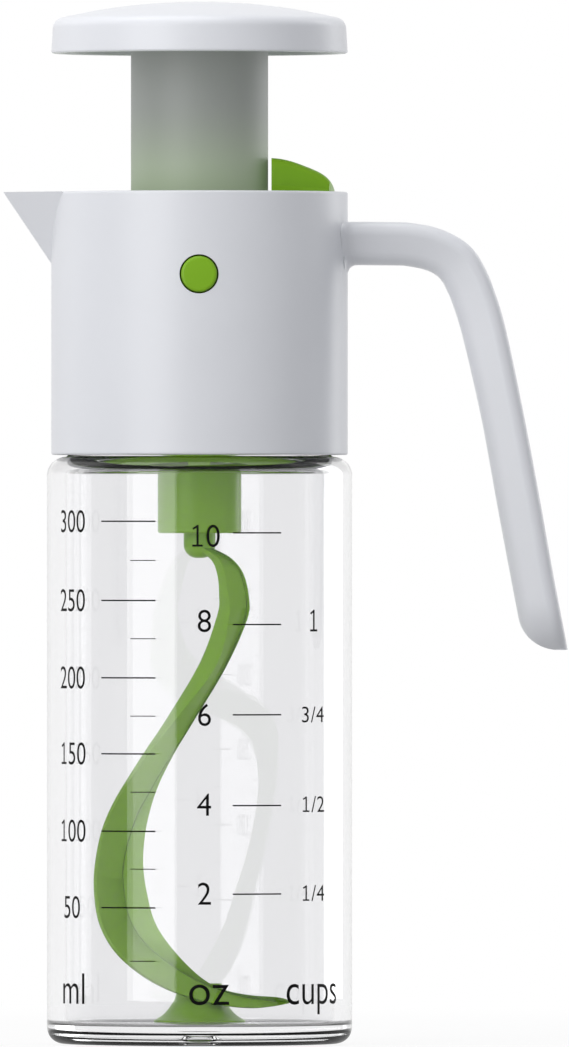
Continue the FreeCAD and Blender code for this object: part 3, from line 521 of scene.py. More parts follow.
# %% Winding, joining and cutting
def wound(name, section, turns, climb, sides):
    piece = ring_of(name, section)
    screw = piece.modifiers.new("wind", "SCREW")
    screw.axis = "Z"
    screw.angle = math.tau * turns
    screw.screw_offset = climb * turns * MM
    screw.steps = int(sides * turns)
    screw.render_steps = int(sides * turns)
    bpy.ops.object.modifier_apply(modifier=screw.name)
    bpy.ops.object.mode_set(mode="EDIT")
    bpy.ops.mesh.select_all(action="DESELECT")
    bpy.ops.mesh.select_mode(type="EDGE")
    bpy.ops.mesh.select_non_manifold()
    bpy.ops.mesh.edge_face_add()
    bpy.ops.mesh.select_all(action="SELECT")
    bpy.ops.mesh.normals_make_consistent(inside=False)
    bpy.ops.mesh.select_mode(type="VERT")
    bpy.ops.object.mode_set(mode="OBJECT")
    return piece


def combine(piece, other, operation):
    """Joins other to piece, or cuts it out, and removes other."""
    pick(piece)
    modifier = piece.modifiers.new("combine", "BOOLEAN")
    modifier.operation = operation
    modifier.object = other
    modifier.solver = "EXACT"
    bpy.ops.object.modifier_apply(modifier=modifier.name)
    bpy.data.objects.remove(other)


# %% [markdown]
# ## Bottle
# One thick-walled glass: a flat base with a small pip inside and a dimple under it, a straight wall, a
# round shoulder and a wide neck. Glass bends light at both of its skins, so the wall is a real closed
# shell and not a sheet. The rounds get many steps, because refraction shows every facet.

# %% Bottle
GLASS_R = 34.5
GLASS_BORE_R = 30.3
NECK_R = 29.6
NECK_BORE_R = 26.4
SHOULDER_Z = 132.6
INNER_SHOULDER_Z = 129.6
LIP_Z = 147.6
GLASS_FLOOR_Z = 4.3
DIMPLE_Z = 2.2
PIP_Z = 5.4
bottle = turned("bottle_glass", [
    (0, DIMPLE_Z, 0), (2.4, DIMPLE_Z, 0.6), (3.4, 0, 0.3), (GLASS_R, 0, 3.8), (GLASS_R, SHOULDER_Z, 4.3),
    (NECK_R, SHOULDER_Z, 0.8), (NECK_R, LIP_Z, 0.8), (NECK_BORE_R, LIP_Z, 0.8),
    (NECK_BORE_R, INNER_SHOULDER_Z, 0.3), (GLASS_BORE_R, INNER_SHOULDER_Z, 1.3),
    (GLASS_BORE_R, GLASS_FLOOR_Z, 1.0), (3.3, GLASS_FLOOR_Z, 0.4), (2.2, PIP_Z, 0.6), (0, PIP_Z, 0)],
    sides=192, steps=12)
NECK_THREAD = [(29.3, 136.2), (29.3, 138.6), (30.75, 137.9), (30.75, 136.9)]
combine(bottle, wound("thread", NECK_THREAD, turns=1.5, climb=4.5, sides=96), "UNION")
smooth(bottle)
dress(bottle, "bottle", "clear_glass", glass, "bottle")

# %% [markdown]
# ## Cap
# The plunger's cap is a shallow dome with a rounded corner and a short skirt that widens a little to
# the rim. The dome is a large arc, so its outline is worked out point by point and then spun. Inside
# are the rib that holds the tube and the boss that holds the spindle.

# %% Cap
CAP_TOP = 235.4
CAP_RIM = 223.7
CAP_RIM_R = 33.5
DOME_R = 137.96
DOME_Z = CAP_TOP - DOME_R
CORNER_X = 30.56
CORNER_Z = 229.3
CORNER_R = 2.6
EDGE_DEG = 13.05
WALL = 2.0
HOLD_OUT = 0.02
HOLD_DOWN = 0.25
RIB_R = 13.65
RIB_BORE_R = 12.05
RIB_LOW = 228.9
BOSS_R = 8
BOSS_LOW = 230.8


def inside_dome(radius):
    """Corner on the underside of the dome at that radius."""
    return radius, DOME_Z + math.sqrt((DOME_R - WALL) ** 2 - radius ** 2), 0


def arc(centre_x, centre_z, radius, first_deg, last_deg, steps):
    """Corners on an arc, its angles counted from straight up."""
    angles = [math.radians(first_deg + (last_deg - first_deg) * i / steps) for i in range(steps + 1)]
    return [(centre_x + radius * math.sin(a), centre_z + radius * math.cos(a), 0) for a in angles]


# The point just under the corner holds the straight skirt below it.
outline = arc(0, DOME_Z, DOME_R, 0, EDGE_DEG, steps=20)
outline += arc(CORNER_X, CORNER_Z, CORNER_R, EDGE_DEG, 90, steps=10)[1:]
outline += [(CORNER_X + CORNER_R + HOLD_OUT, CORNER_Z - HOLD_DOWN, 0)]
outline += [(CAP_RIM_R, CAP_RIM, 0.5), (CAP_RIM_R - WALL, CAP_RIM, 0.3)]
outline += arc(CORNER_X, CORNER_Z, CORNER_R - WALL, 90, EDGE_DEG, steps=4)
outline += [inside_dome(RIB_R), (RIB_R, RIB_LOW, 0.2), (RIB_BORE_R, RIB_LOW, 0.2), inside_dome(RIB_BORE_R)]
outline += [inside_dome(BOSS_R), (BOSS_R, BOSS_LOW, 0.3), (0, BOSS_LOW, 0)]
cap = turned("plunger_cap_shell", outline, sides=160, steps=5)
dress(cap, "plunger", "white_plastic", white_abs, "plunger_cap")

# %% [markdown]
# ## Tube and drive
# The frosted tube carries the cap and has a stop flange at its lower end. In it runs the green drive
# tube, which also hangs below the neck as the green sleeve and turns on a flange in its bush. All are
# plain turnings with small edge rounds.

# %% Tube and drive
TUBE_R = 15.5
TUBE_BORE_R = 13.7
TUBE_LOW = 168.1
TUBE_TOP = 232.3
STOP_R = 17.2
STOP_TOP = 170.1
tube = turned("plunger_tube_frosted", [
    (TUBE_BORE_R, TUBE_LOW, 0.3), (STOP_R, TUBE_LOW, 0.4), (STOP_R, STOP_TOP, 0.4), (TUBE_R, STOP_TOP, 0.3),
    (TUBE_R, TUBE_TOP, 0.2), (TUBE_BORE_R, TUBE_TOP, 0.2)], steps=4)
dress(tube, "plunger", "frosted_plastic", frosted, "plunger_tube")

DRIVE_R = 9.45
DRIVE_BORE_R = 7.55
DRIVE_LOW = 115.3
DRIVE_FLOOR = 118.9
DRIVE_TOP = 197.7
POST_HOLE_R = 3.7
FLANGE_R = 12.2
FLANGE_LOW = 144.1
FLANGE_TOP = 146.0
sleeve = turned("drive_tube_sleeve", [
    (POST_HOLE_R, DRIVE_LOW, 0.2), (DRIVE_R, DRIVE_LOW, 0.6), (DRIVE_R, FLANGE_LOW, 0.2),
    (FLANGE_R, FLANGE_LOW, 0.3), (FLANGE_R, FLANGE_TOP, 0.3), (DRIVE_R, FLANGE_TOP, 0.3),
    (DRIVE_R, DRIVE_TOP, 0.2), (DRIVE_BORE_R, DRIVE_TOP, 0.2), (DRIVE_BORE_R, DRIVE_FLOOR, 0.3),
    (POST_HOLE_R, DRIVE_FLOOR, 0.2)], steps=5)
dress(sleeve, "stirrer", "green_plastic", green_abs, "drive_tube")

# %% [markdown]
# ## Rings, bush and cup
# Small turnings inside the head: the gasket on the lip, the wiper round the plunger tube, the bush of
# the drive, a thin green liner in the screw ring that tints the shoulder, and the cup of the spring.

# %% Rings, bush and cup
LEDGE_Z = 149.1
gasket = turned("neck_gasket_ring", [
    (26.7, LIP_Z, 0.3), (NECK_R, LIP_Z, 0.3), (NECK_R, LEDGE_Z, 0.3), (26.7, LEDGE_Z, 0.3)], steps=4)
dress(gasket, "gasket", "silicone", silicone, "neck_gasket")
wiper = turned("plunger_wiper_ring", [
    (15.6, 181.4, 0.3), (17.1, 181.4, 0.2), (17.1, 183.0, 0.2), (15.6, 183.0, 0.3)], steps=4)
dress(wiper, "collar", "silicone", silicone, "plunger_wiper")
bush = turned("hub_bush_flanged", [
    (9.53, 131.4, 0.2), (10.63, 131.4, 0.2), (10.63, 143.0, 0), (12.28, 143.0, 0.2), (12.28, 144.0, 0.3),
    (9.53, 144.0, 0.2)], steps=3)
dress(bush, "collar", "acetal", acetal, "hub_bush")
liner = turned("screw_ring_liner", [
    (30.86, 133.4, 0.1), (31.12, 133.4, 0), (31.12, 149.0, 0), (30.86, 149.0, 0)], steps=3)
dress(liner, "collar", "green_plastic", green_abs)
cup = turned("spring_cup_turned", [
    (0, 179.7, 0), (4.6, 179.7, 0.5), (4.6, 182.7, 0.2), (7.25, 182.7, 0.3), (7.25, 185.7, 0.3),
    (2.05, 185.7, 0.1), (2.05, 183.05, 0), (0, 183.05, 0)], steps=3)
dress(cup, "plunger", "acetal", acetal, "spring_cup")

# %% [markdown]
# ## Tools for the lofted pieces
# The handle and the stirring ribbon change section as they go. A circle is filled, then extruded from
# station to station, and after each extrusion the new ring of points is put on the next section. A
# smooth curve through a few stations gives the ones between them.

# %% Lofted pieces
def loft(name, rings):
    """Closed piece through rings of points, all with the same number of points."""
    count = len(rings[0])
    bpy.ops.object.select_all(action="DESELECT")
    bpy.ops.mesh.primitive_circle_add(vertices=count, radius=MM, fill_type="NGON")
    piece = bpy.context.object
    piece.name = name
    for point, spot in zip(piece.data.vertices, rings[0]):
        point.co = Vector(spot) * MM
    bpy.ops.object.mode_set(mode="EDIT")
    bpy.ops.mesh.select_all(action="SELECT")
    mesh = bmesh.from_edit_mesh(piece.data)
    for before, after in zip(rings, rings[1:]):
        bpy.ops.mesh.extrude_region_move()
        moving = [point for point in mesh.verts if point.select]
        for point in moving:
            nearest = min(range(count), key=lambda i: (Vector(before[i]) * MM - point.co).length_squared)
            point.co = Vector(after[nearest]) * MM
    bmesh.update_edit_mesh(piece.data)
    bpy.ops.mesh.select_all(action="SELECT")
    bpy.ops.mesh.normals_make_consistent(inside=False)
    bpy.ops.object.mode_set(mode="OBJECT")
    return piece


def between(rows, steps):
    """Rows of numbers joined by a smooth curve, with so many steps from row to row."""
    curve = []
    for i in range(len(rows) - 1):
        a, b, c, d = (rows[max(i - 1, 0)], rows[i], rows[i + 1], rows[min(i + 2, len(rows) - 1)])
        for step in range(steps):
            t = step / steps
            weights = (-t + 2 * t ** 2 - t ** 3, 2 - 5 * t ** 2 + 3 * t ** 3,
                       t + 4 * t ** 2 - 3 * t ** 3, t ** 3 - t ** 2)
            curve.append([sum(w * r[k] for w, r in zip(weights, (a, b, c, d))) / 2 for k in range(len(b))])
    return curve + [list(rows[-1])]


print("two rows in four steps:", between([(0,), (1,)], steps=4))

# %% [markdown]
# ## Stirrer
# A green post, a helical blade and a trumpet foot in one moulding. Each station of the blade gives
# its left and right edge as seen from the front, how far back it lies, its half thickness, and where
# the ridge and the valley of its front run across it. The blade widens on the way down, sweeps past
# the wall, runs in front of the foot and ends as a thin tongue. A narrow facet along its left edge
# shows as a bright line.

# %% Blade of the stirrer
# left x, left z, right x, right z, y, half thickness, share of the ridge, share of the valley
RIBBON = [
    (-0.8, 111.8, 2.8, 112.0, -2.6, 1.4, 0.50, 0.90), (2.6, 109.3, 7.1, 109.7, -3.0, 1.8, 0.40, 0.90),
    (4.0, 105.9, 9.9, 106.1, -2.3, 2.2, 0.30, 0.90), (4.4, 101.4, 11.2, 100.7, 0.3, 2.4, 0.30, 0.90),
    (4.0, 96.8, 10.8, 95.7, 3.2, 2.6, 0.40, 0.92), (-0.1, 85.8, 6.0, 84.9, 8.9, 3.0, 0.62, 0.95),
    (-7.8, 73.1, -1.7, 72.2, 12.0, 3.2, 0.33, 0.97), (-12.1, 66.8, -5.7, 65.7, 11.5, 3.2, 0.20, 0.94),
    (-16.4, 60.2, -9.4, 58.4, 9.5, 3.2, 0.12, 0.86), (-20.0, 54.1, -11.6, 51.6, 6.6, 3.2, 0.08, 0.72),
    (-22.5, 47.8, -12.6, 45.5, 3.4, 3.2, 0.07, 0.65), (-23.8, 40.1, -12.7, 39.7, 0.0, 3.2, 0.07, 0.58),
    (-23.6, 33.6, -11.7, 33.6, -4.0, 3.2, 0.07, 0.56), (-22.2, 27.0, -10.0, 27.7, -7.4, 3.2, 0.07, 0.57),
    (-18.8, 20.9, -6.9, 22.7, -9.8, 3.2, 0.07, 0.62), (-13.4, 15.9, -2.1, 17.3, -10.2, 3.2, 0.07, 0.75),
    (-7.5, 12.4, 2.4, 13.7, -8.6, 3.4, 0.07, 0.88), (-1.0, 10.1, 6.9, 11.9, -7.3, 3.4, 0.07, 0.90),
    (5.1, 8.7, 11.9, 11.0, -7.0, 2.6, 0.07, 0.80), (11.4, 8.1, 16.4, 10.7, -6.8, 1.8, 0.07, 0.70),
    (16.4, 8.5, 18.9, 10.3, -6.2, 1.2, 0.07, 0.60), (20.0, 9.2, 20.4, 9.6, -5.4, 0.4, 0.07, 0.60)]
EDGE_SHARE = 0.03
EDGE_SWELL = 0.2
VALLEY = 0.7
FOLD = 0.012
FOLD_DEEP = 0.12
BACK = 1.35


def on_blade(row, share, swell):
    """A point of the section: share across from left to right, swelling towards the back."""
    left_x, left_z, right_x, right_z, y, half = row[:6]
    return Vector((left_x + (right_x - left_x) * share, y + half * swell,
                   left_z + (right_z - left_z) * share))


def blade_section(row):
    first, second = row[6:]
    depth = VALLEY * 4 * second * (1 - second)
    shares = [(0, 0), (EDGE_SHARE, -EDGE_SWELL), (first, -4 * first * (1 - first)),
              (second - FOLD, depth), (second, depth + FOLD_DEEP), (second + FOLD, depth),
              (1, 0), (1 - EDGE_SHARE / 2, EDGE_SWELL), (0.5, BACK), (EDGE_SHARE, EDGE_SWELL)]
    return [on_blade(row, share, swell) for share, swell in shares]


stirrer = loft("stirrer_ribbon", [blade_section(row) for row in between(RIBBON, steps=6)])
print("blade:", len(RIBBON), "stations")

# %% Post and foot of the stirrer
POST_R = 3.6
POST_LOW = 109.7
POST_TOP = 123.2
FOOT_LOW = 4.6
FOOT_TOP = 13.6
SOCKET_TOP = 6.0
post = turned("post", [
    (0, POST_LOW, 0), (POST_R, POST_LOW, 3.0), (POST_R, 119.0, 0), (4.1, 119.0, 0.1), (POST_R, 120.6, 0),
    (POST_R, POST_TOP, 0.4), (0, POST_TOP, 0)], sides=64)
FLARE = [(10.3, 5.3), (8.7, 6.2), (7.4, 7.4), (6.4, 8.8), (5.5, 10.4), (5.0, FOOT_TOP)]
foot = turned("foot", [(POST_R, FOOT_LOW, 0), (10.4, FOOT_LOW, 0.3)]
              + [(r, z, 0) for r, z in between(FLARE, steps=4)]
              + [(0, FOOT_TOP, 0), (0, SOCKET_TOP, 0), (POST_R, SOCKET_TOP, 0)], sides=96)
combine(stirrer, post, "UNION")
combine(stirrer, foot, "UNION")
smooth(stirrer, angle=40)
dress(stirrer, "stirrer", "green_plastic", green_abs, "stirrer")

# %% [markdown]
# ## Collar
# One white moulding: a round collar, a V-shaped beak and a handle. It is built as a solid turning with
# the beak and the handle joined on; then the hollow, the channel of the beak and the button's hole
# are cut out.

# %% Collar body
COLLAR_R = 33.5
COLLAR_LOW = 133.0
COLLAR_TOP = 192.4
SCREW_R = 31.1
LEDGE_R = 26.3
LEDGE_TOP = 151.5
CHAMBER_R = 30.1
SEAT_R = 31.5
SEAT_Z = 181.0
CUT_LOW = 128
CUT_TOP = 200
collar = turned("pouring_collar_shell", [
    (0, COLLAR_LOW, 0), (COLLAR_R, COLLAR_LOW, 0.5), (COLLAR_R, COLLAR_TOP, 0.5), (0, COLLAR_TOP, 0)],
    sides=192, steps=5)
hollow = turned("hollow", [
    (0, CUT_LOW, 0), (SCREW_R, CUT_LOW, 0), (SCREW_R, LEDGE_Z, 0), (LEDGE_R, LEDGE_Z, 0),
    (LEDGE_R, LEDGE_TOP, 0), (CHAMBER_R, LEDGE_TOP, 0), (CHAMBER_R, SEAT_Z, 0), (SEAT_R, SEAT_Z, 0),
    (SEAT_R, CUT_TOP, 0), (0, CUT_TOP, 0)], sides=192)
print("collar:", COLLAR_TOP - COLLAR_LOW, "mm tall")

# %% [markdown]
# ## Beak
# The beak is a cone of three sides: two corners at the collar, one at the tip, and the keel below. Its
# channel is a second cone of the same kind, higher and carried further in, so that it opens into the
# collar and leaves an even wall.

# %% Beak
def beak(name, root_x, half_width, tip_x, keel, top, tip_round):
    """Cone of three sides, its points moved to the beak's corners and its front edge rounded."""
    bpy.ops.object.select_all(action="DESELECT")
    bpy.ops.mesh.primitive_cone_add(vertices=3, radius1=MM, depth=MM)
    piece = bpy.context.object
    piece.name = name
    corners = [(root_x, half_width, top), (root_x, -half_width, top), (tip_x, 0, top), keel]
    low = sorted(piece.data.vertices, key=lambda point: point.co.z)
    for point, corner in zip(low, corners):
        point.co = Vector(corner) * MM
    piece.location = (0, 0, 0)
    bpy.ops.object.mode_set(mode="EDIT")
    mesh = bmesh.from_edit_mesh(piece.data)
    for edge in mesh.edges:
        middle = (edge.verts[0].co + edge.verts[1].co) / 2
        edge.select_set(abs(middle.y) < MM / 100)
    bpy.ops.mesh.bevel(offset=tip_round * MM, segments=3, affect="EDGES")
    bpy.ops.mesh.select_all(action="SELECT")
    bpy.ops.mesh.normals_make_consistent(inside=False)
    bpy.ops.object.mode_set(mode="OBJECT")
    return piece


spout = beak("beak", root_x=-30.6, half_width=13.63, tip_x=-44.6, keel=(-32.3, 0, 174.1), top=COLLAR_TOP,
             tip_round=0.5)
channel = beak("channel", root_x=-26.0, half_width=21.68, tip_x=-48.3, keel=(-26.0, 0, 178.82), top=197.4,
               tip_round=0.4)
combine(collar, spout, "UNION")
print("collar with beak:", len(collar.data.polygons), "faces")

# %% [markdown]
# ## Handle
# The handle leaves the collar level, turns down and ends in a long straight grip. Its front and back
# lean inwards: it is widest along its outer edge, which is what darkens the sides towards the fingers.
# A small flare joins it to the collar, and its end is rounded both ways: across the width by narrower
# sections, and seen from the front by keeping only what lies inside a rounded outline.

# %% Sections of the handle
# middle x, middle z, tilt in degrees, thickness
HANDLE = [(31.0, 180.75, 0, 9.7), (46.3, 180.66, 2, 9.7), (51.4, 179.8, 13.6, 9.75),
          (55.4, 178.2, 29.6, 9.75), (58.2, 175.95, 43, 9.98), (60.1, 172.85, 57.6, 9.9),
          (61.85, 168.7, 68.4, 9.8), (64.35, 160.45, 75.3, 9.8), (68.45, 141.8, 79, 9.5),
          (71.98, 122.8, 79.3, 9.65), (75.45, 103.9, 79.3, 9.5), (79.3, 84.15, 79.7, 9.5)]
HANDLE_HALF_WIDTH = 9.6
HANDLE_INNER_HALF = 6.2
OUTER_ROUND = 2.2
INNER_ROUND = 4
END_ROUND_Z = 98.5
END_ROUND_R = 11.0
END_ROUND_PART = 0.9
FLARE_R = 2.2
ARM_STEP = 0.6
ARM_STEPS = 12


def handle_section(half, z):
    """Outline across the handle; towards the end of the grip it narrows along a round."""
    drop = min(max(END_ROUND_Z - z, 0), END_ROUND_PART * END_ROUND_R)
    share = 1 - (END_ROUND_R - math.sqrt(END_ROUND_R ** 2 - drop ** 2)) / HANDLE_HALF_WIDTH
    outer = HANDLE_HALF_WIDTH * share
    inner = HANDLE_INNER_HALF * share
    return round_corners([(-outer, half, OUTER_ROUND), (outer, half, OUTER_ROUND),
                          (inner, -half, INNER_ROUND), (-inner, -half, INNER_ROUND)], steps=6)


def handle_ring(x, z, tilt, thick):
    """Section at its place, flared where it comes near the collar."""
    outward = Vector((math.sin(math.radians(tilt)), 0, math.cos(math.radians(tilt))))
    half = thick / 2
    ring = []
    for across, up in handle_section(half, z):
        gap = min(max(math.hypot(x, across) - COLLAR_R, 0), FLARE_R)
        flare = FLARE_R - math.sqrt(FLARE_R ** 2 - (FLARE_R - gap) ** 2)
        side = Vector((across / HANDLE_HALF_WIDTH, min(up / half, 0)))
        across += flare * side.x
        up += flare * side.y
        ring.append(Vector((x, across, z)) + outward * up)
    return ring


root_x, root_z, root_tilt, root_thick = HANDLE[0]
arm = [(root_x + ARM_STEP * i, root_z, root_tilt, root_thick) for i in range(ARM_STEPS)]
stations = arm + between(HANDLE[1:], steps=10)
handle = loft("handle", [handle_ring(*station) for station in stations])
print("handle:", len(stations), "stations")

# %% End of the handle
# x, z, round: the outline cuts close only at the end of the grip
GRIP_END_Z = 88.95
KEPT = [(73.5, GRIP_END_Z, 9.0), (96, GRIP_END_Z, 0), (96, 195, 0), (0, 195, 0), (0, 120, 0), (69.4, 110, 0)]
KEPT_HALF_WIDTH = 15
tip = round_corners(KEPT, steps=12)
keep = loft("keep", [[(x, side * KEPT_HALF_WIDTH, z) for x, z in tip] for side in (-1, 1)])
combine(handle, keep, "INTERSECT")
combine(collar, handle, "UNION")
print("collar with handle:", len(collar.data.polygons), "faces")

# %% [markdown]
# ## Cuts in the collar
# Collar, beak and handle are now one solid. The hollow, the channel and the button's hole are cut out
# last, so that each cut runs cleanly through all that was joined.

# %% Hollow, channel and button hole
BUTTON_HOLE_R = 4.4
BUTTON_Z = 173.6
HOLE_MIDDLE_Y = -32
HOLE_DEPTH = 12
combine(collar, hollow, "DIFFERENCE")
combine(collar, channel, "DIFFERENCE")
bpy.ops.object.select_all(action="DESELECT")
bpy.ops.mesh.primitive_cylinder_add(vertices=96, radius=BUTTON_HOLE_R * MM, depth=HOLE_DEPTH * MM,
                                    location=(0, HOLE_MIDDLE_Y * MM, BUTTON_Z * MM),
                                    rotation=(math.radians(90), 0, 0))
combine(collar, bpy.context.object, "DIFFERENCE")
smooth(collar, angle=24)
dress(collar, "collar", "white_plastic", white_abs, "pouring_collar")

# %% [markdown]
# ## Pieces that keep their solid's shape
# The lever, the button and the inner mouldings are right as they are, but a moulding never has razor
# edges, and small rounds are what catch the light. Each is copied from its solid, its loose triangles
# are merged, flat faces are dissolved and a small bevel rounds the edges.

# %% Softened copies
FLAT_DEG = 0.5
SHARP_DEG = 40


def softened(node, name, width):
    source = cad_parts[node]
    piece = source.copy()
    piece.data = source.data.copy()
    piece.name = name
    piece.parent = None
    for key in list(piece.keys()):
        del piece[key]
    bpy.context.scene.collection.objects.link(piece)
    pick(piece)
    bpy.ops.object.mode_set(mode="EDIT")
    bpy.ops.mesh.select_all(action="SELECT")
    bpy.ops.mesh.remove_doubles(threshold=MERGE_GAP)
    bpy.ops.mesh.dissolve_limited(angle_limit=math.radians(FLAT_DEG))
    bpy.ops.object.mode_set(mode="OBJECT")
    bevel = piece.modifiers.new("edge_round", "BEVEL")
    bevel.width = width * MM
    bevel.segments = 3
    bevel.limit_method = "ANGLE"
    bevel.angle_limit = math.radians(SHARP_DEG)
    bevel.use_clamp_overlap = True
    bpy.ops.object.modifier_apply(modifier=bevel.name)
    smooth(piece)
    return piece


# node, name of the piece, width of its edge rounds, body, slot, material
for node, name, width, body, slot, material in [
        ("pour_lever", "pour_lever_moulding", 0.3, "lever", "green_plastic", green_abs),
        ("lock_button", "lock_button_moulding", 0.15, "lock", "green_plastic", green_abs),
        ("neck_insert", "neck_insert_moulding", 0.25, "collar", "green_plastic", green_abs),
        ("guide_deck", "guide_deck_moulding", 0.2, "collar", "white_plastic", white_abs),
        ("drive_spindle", "drive_spindle_moulding", 0.15, "plunger", "acetal", acetal),
        ("drive_nut", "drive_nut_moulding", 0.15, "stirrer", "acetal", acetal),
        ("lock_slide", "lock_slide_moulding", 0.15, "lock", "acetal", acetal),
        ("spout_seal", "spout_seal_pad", 0.25, "lever", "silicone", silicone),
        ("lever_pins", "lever_pins_turned", 0.15, "collar", "spring_steel", steel)]:
    dress(softened(node, name, width), body, slot, material, node)

# %% [markdown]
# ## Foot of the thumb tab
# The tab of the lever widens a little where it grows out of the lever. That narrow strip leans back
# and so catches more light from above than the upright face. It is lofted along the tab.

# %% Foot of the thumb tab
TAB_FACE_Y = -8.9
# x, top, how far it stands out, height where it stands out most
TAB_FOOT = [(16.5, 194.0, 1.0, 192.0), (23.0, 193.8, 1.0, 191.9), (29.0, 193.2, 0.6, 191.8)]
strip = loft("lever_tab_foot", [
    [(x, TAB_FACE_Y, top), (x, TAB_FACE_Y - out, low), (x, TAB_FACE_Y, low - 1)]
    for x, top, out, low in TAB_FOOT])
smooth(strip, angle=20)
dress(strip, "lever", "green_plastic", green_abs)

# %% [markdown]
# ## Springs
# A coil is a small circle of wire carried round and up.

# %% Springs
WIRE_SIDES = 12
COIL_SIDES = 32


def spring(name, wire_r, coil_r, turns, low, high):
    wire = [(coil_r + wire_r * math.cos(a), low + wire_r + wire_r * math.sin(a))
            for a in [math.tau * i / WIRE_SIDES for i in range(WIRE_SIDES)]]
    piece = wound(name, wire, turns, (high - low - 2 * wire_r) / turns, COIL_SIDES)
    smooth(piece, angle=40)
    return piece


return_spring = spring("return_spring_coil", wire_r=0.55, coil_r=5.9, turns=14, low=119.0, high=182.6)
dress(return_spring, "stirrer", "spring_steel", steel, "return_spring")
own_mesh(return_spring)

lever_spring = spring("lever_spring_coil", wire_r=0.25, coil_r=2.2, turns=6, low=177.1, high=188.5)
bpy.ops.transform.translate(value=(0.0258, 0, 0))
bpy.ops.object.transform_apply(location=True, rotation=True, scale=True)
dress(lever_spring, "collar", "spring_steel", steel, "lever_spring")
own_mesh(lever_spring)

# The button's spring lies on its side: it is wound upright, tipped over and lifted to the button.
button_spring = spring("button_spring_coil", wire_r=0.2, coil_r=3.4, turns=3, low=22.15, high=28.21)
bpy.ops.transform.rotate(value=math.radians(-90), orient_axis="X", center_override=(0, 0, 0))
bpy.ops.transform.translate(value=(0, 0, 0.1736))
bpy.ops.object.transform_apply(location=True, rotation=True, scale=True)
dress(button_spring, "collar", "spring_steel", steel, "button_spring")
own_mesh(button_spring)
print("button spring from", round(min(p.co.y for p in button_spring.data.vertices) / MM, 2), "mm")

# %% [markdown]
# ## Printed scale
# Three columns of marks are printed on the front of the glass: millilitres, ounces and cups. Flat
# lettering is made into a mesh, cut finer, and bent round the wall; a solidify gives the ink its
# thickness. The lines are flat grids bent in the same way.

# %% Bending flat marks
PRINT_R = 34.51


def wrap(piece, turn_deg, height):
    """Bends a flat piece round the bottle: x becomes a turn from the front, y a height."""
    for point in piece.data.vertices:
        angle = math.radians(turn_deg) + point.co.x / (PRINT_R * MM)
        point.co = (PRINT_R * MM * math.sin(angle), -PRINT_R * MM * math.cos(angle),
                    height * MM + point.co.y)
    return piece


def stretch(piece, width, height, shift=0):
    """Brings flat letters of one em to their size, moved along the line by a share of the em."""
    for point in piece.data.vertices:
        point.co = ((point.co.x + shift) * width * MM, point.co.y * height * MM, 0)
    return piece


def line(first_deg, last_deg, thick, height):
    bpy.ops.object.select_all(action="DESELECT")
    bpy.ops.mesh.primitive_grid_add(x_subdivisions=24, y_subdivisions=1, size=1)
    length = PRINT_R * math.radians(last_deg - first_deg)
    return wrap(stretch(bpy.context.object, length, thick), (first_deg + last_deg) / 2, height)


print("the print lies", round(PRINT_R - GLASS_R, 3), "mm off the glass")

# %% Letters and figures
STROKE_THIN = -0.004
HALF_FIGURE = 0.34
ADVANCE = {"/": 0.32, "1": 0.56}
USUAL_ADVANCE = 0.5
# The stem, the flag and the foot of a one, in shares of an em.
ONE = [[(-0.005, 0.01), (0.067, 0.01), (0.067, 0.68), (-0.005, 0.68)],
       [(-0.14, 0.585), (-0.105, 0.53), (0.03, 0.61), (0.03, 0.68)],
       [(-0.14, 0.01), (0.2, 0.01), (0.2, 0.076), (-0.14, 0.076)]]


def letters(words):
    """Letters of the built-in face with thinned strokes, one em high, centred, cut fine enough to bend."""
    bpy.ops.object.select_all(action="DESELECT")
    bpy.ops.object.text_add()
    piece = bpy.context.object
    piece.data.body = words
    piece.data.align_x = "CENTER"
    piece.data.offset = STROKE_THIN
    piece.data.resolution_u = 6
    bpy.ops.object.convert(target="MESH")
    piece = bpy.context.object
    bpy.ops.object.mode_set(mode="EDIT")
    bpy.ops.mesh.select_all(action="SELECT")
    bpy.ops.mesh.remove_doubles(threshold=0.0001)
    bpy.ops.mesh.subdivide(number_cuts=2)
    bpy.ops.object.mode_set(mode="OBJECT")
    return piece


def numeral_one():
    """A one with a flag and a foot, which the built-in face lacks, from three planes."""
    strokes = []
    for low_left, low_right, high_right, high_left in ONE:
        bpy.ops.object.select_all(action="DESELECT")
        bpy.ops.mesh.primitive_plane_add(size=1)
        stroke = bpy.context.object
        for point, (x, y) in zip(stroke.data.vertices, [low_left, low_right, high_left, high_right]):
            point.co = (x, y, 0)
        strokes.append(stroke)
    for stroke in strokes:
        stroke.select_set(True)
    bpy.ops.object.join()
    return bpy.context.object


def number(words, width, height, turn_deg, middle):
    """Figures set one by one round the wall, their middle at that height."""
    widths = [ADVANCE.get(figure, USUAL_ADVANCE) for figure in words]
    made = []
    for i, figure in enumerate(words):
        shift = sum(widths[:i]) + widths[i] / 2 - sum(widths) / 2
        flat = numeral_one() if figure == "1" else letters(figure)
        made.append(wrap(stretch(flat, width, height, shift), turn_deg, middle - HALF_FIGURE * height))
    return made


print("a one has", len(ONE), "strokes")

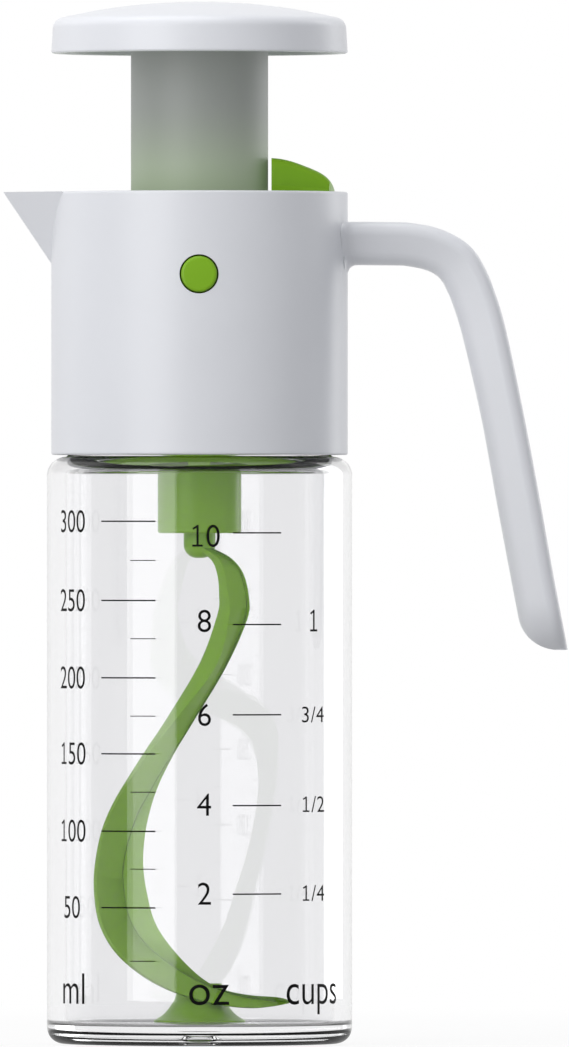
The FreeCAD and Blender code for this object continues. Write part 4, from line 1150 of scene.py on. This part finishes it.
# %% Marks of the scale
# Widths and heights of an em, then thicknesses of lines.
FIGURE = (7.0, 7.3)
FRACTION = (6.0, 5.2)
LETTER = (9.9, 10.2)
MAJOR_LINE = 0.32
MINOR_LINE = 0.2
# Turns from the front in degrees: of a middle, or of a line's two ends.
ML_DEG = -56.5
ML_LINE_DEG = (-39.6, -16.5)
ML_HALF_DEG = (-26.6, -16.5)
OZ_DEG = 2
OZ_LINE_DEG = (12.7, 32.3)
CUPS_DEG = 48
# Heights.
ML_LINES = [118.0, 100.2, 82.8, 65.7, 48.3, 31.1]
ML_HALVES = [109.2, 91.6, 74.2, 57.1, 39.8, 19.1]
OZ_LINES = [115.4, 94.8, 74.5, 54.1, 34.2]
OZ_MIDDLES = [114.7, 95.6, 74.5, 54.3, 34.3]
UNITS_Z = 9.3
marks = []
for amount, height in zip((300, 250, 200, 150, 100, 50), ML_LINES):
    marks += number(str(amount), *FIGURE, ML_DEG, height)
    marks.append(line(*ML_LINE_DEG, MAJOR_LINE, height))
for height in ML_HALVES:
    marks.append(line(*ML_HALF_DEG, MINOR_LINE, height))
for amount, height, middle in zip((10, 8, 6, 4, 2), OZ_LINES, OZ_MIDDLES):
    marks += number(str(amount), *FIGURE, OZ_DEG, middle)
    marks.append(line(*OZ_LINE_DEG, MAJOR_LINE, height))
marks += number("1", *FIGURE, CUPS_DEG, OZ_MIDDLES[1])
for words, middle in zip(("3/4", "1/2", "1/4"), OZ_MIDDLES[2:]):
    marks += number(words, *FRACTION, CUPS_DEG, middle)
for words, turn_deg in [("ml", -55.5), ("oz", 3.6), ("cups", 49)]:
    marks.append(wrap(stretch(letters(words), *LETTER), turn_deg, UNITS_Z))
print("marks:", len(marks))

# %% Ink film
INK_THICK = 0.03
bpy.ops.object.select_all(action="DESELECT")
for mark in marks:
    mark.select_set(True)
scale = marks[0]
bpy.context.view_layer.objects.active = scale
bpy.ops.object.join()
scale.name = "printed_scale"
film = scale.modifiers.new("ink_film", "SOLIDIFY")
film.thickness = INK_THICK * MM
film.offset = 1
bpy.ops.object.modifier_apply(modifier=film.name)
dress(scale, "bottle", "printed_ink", ink)
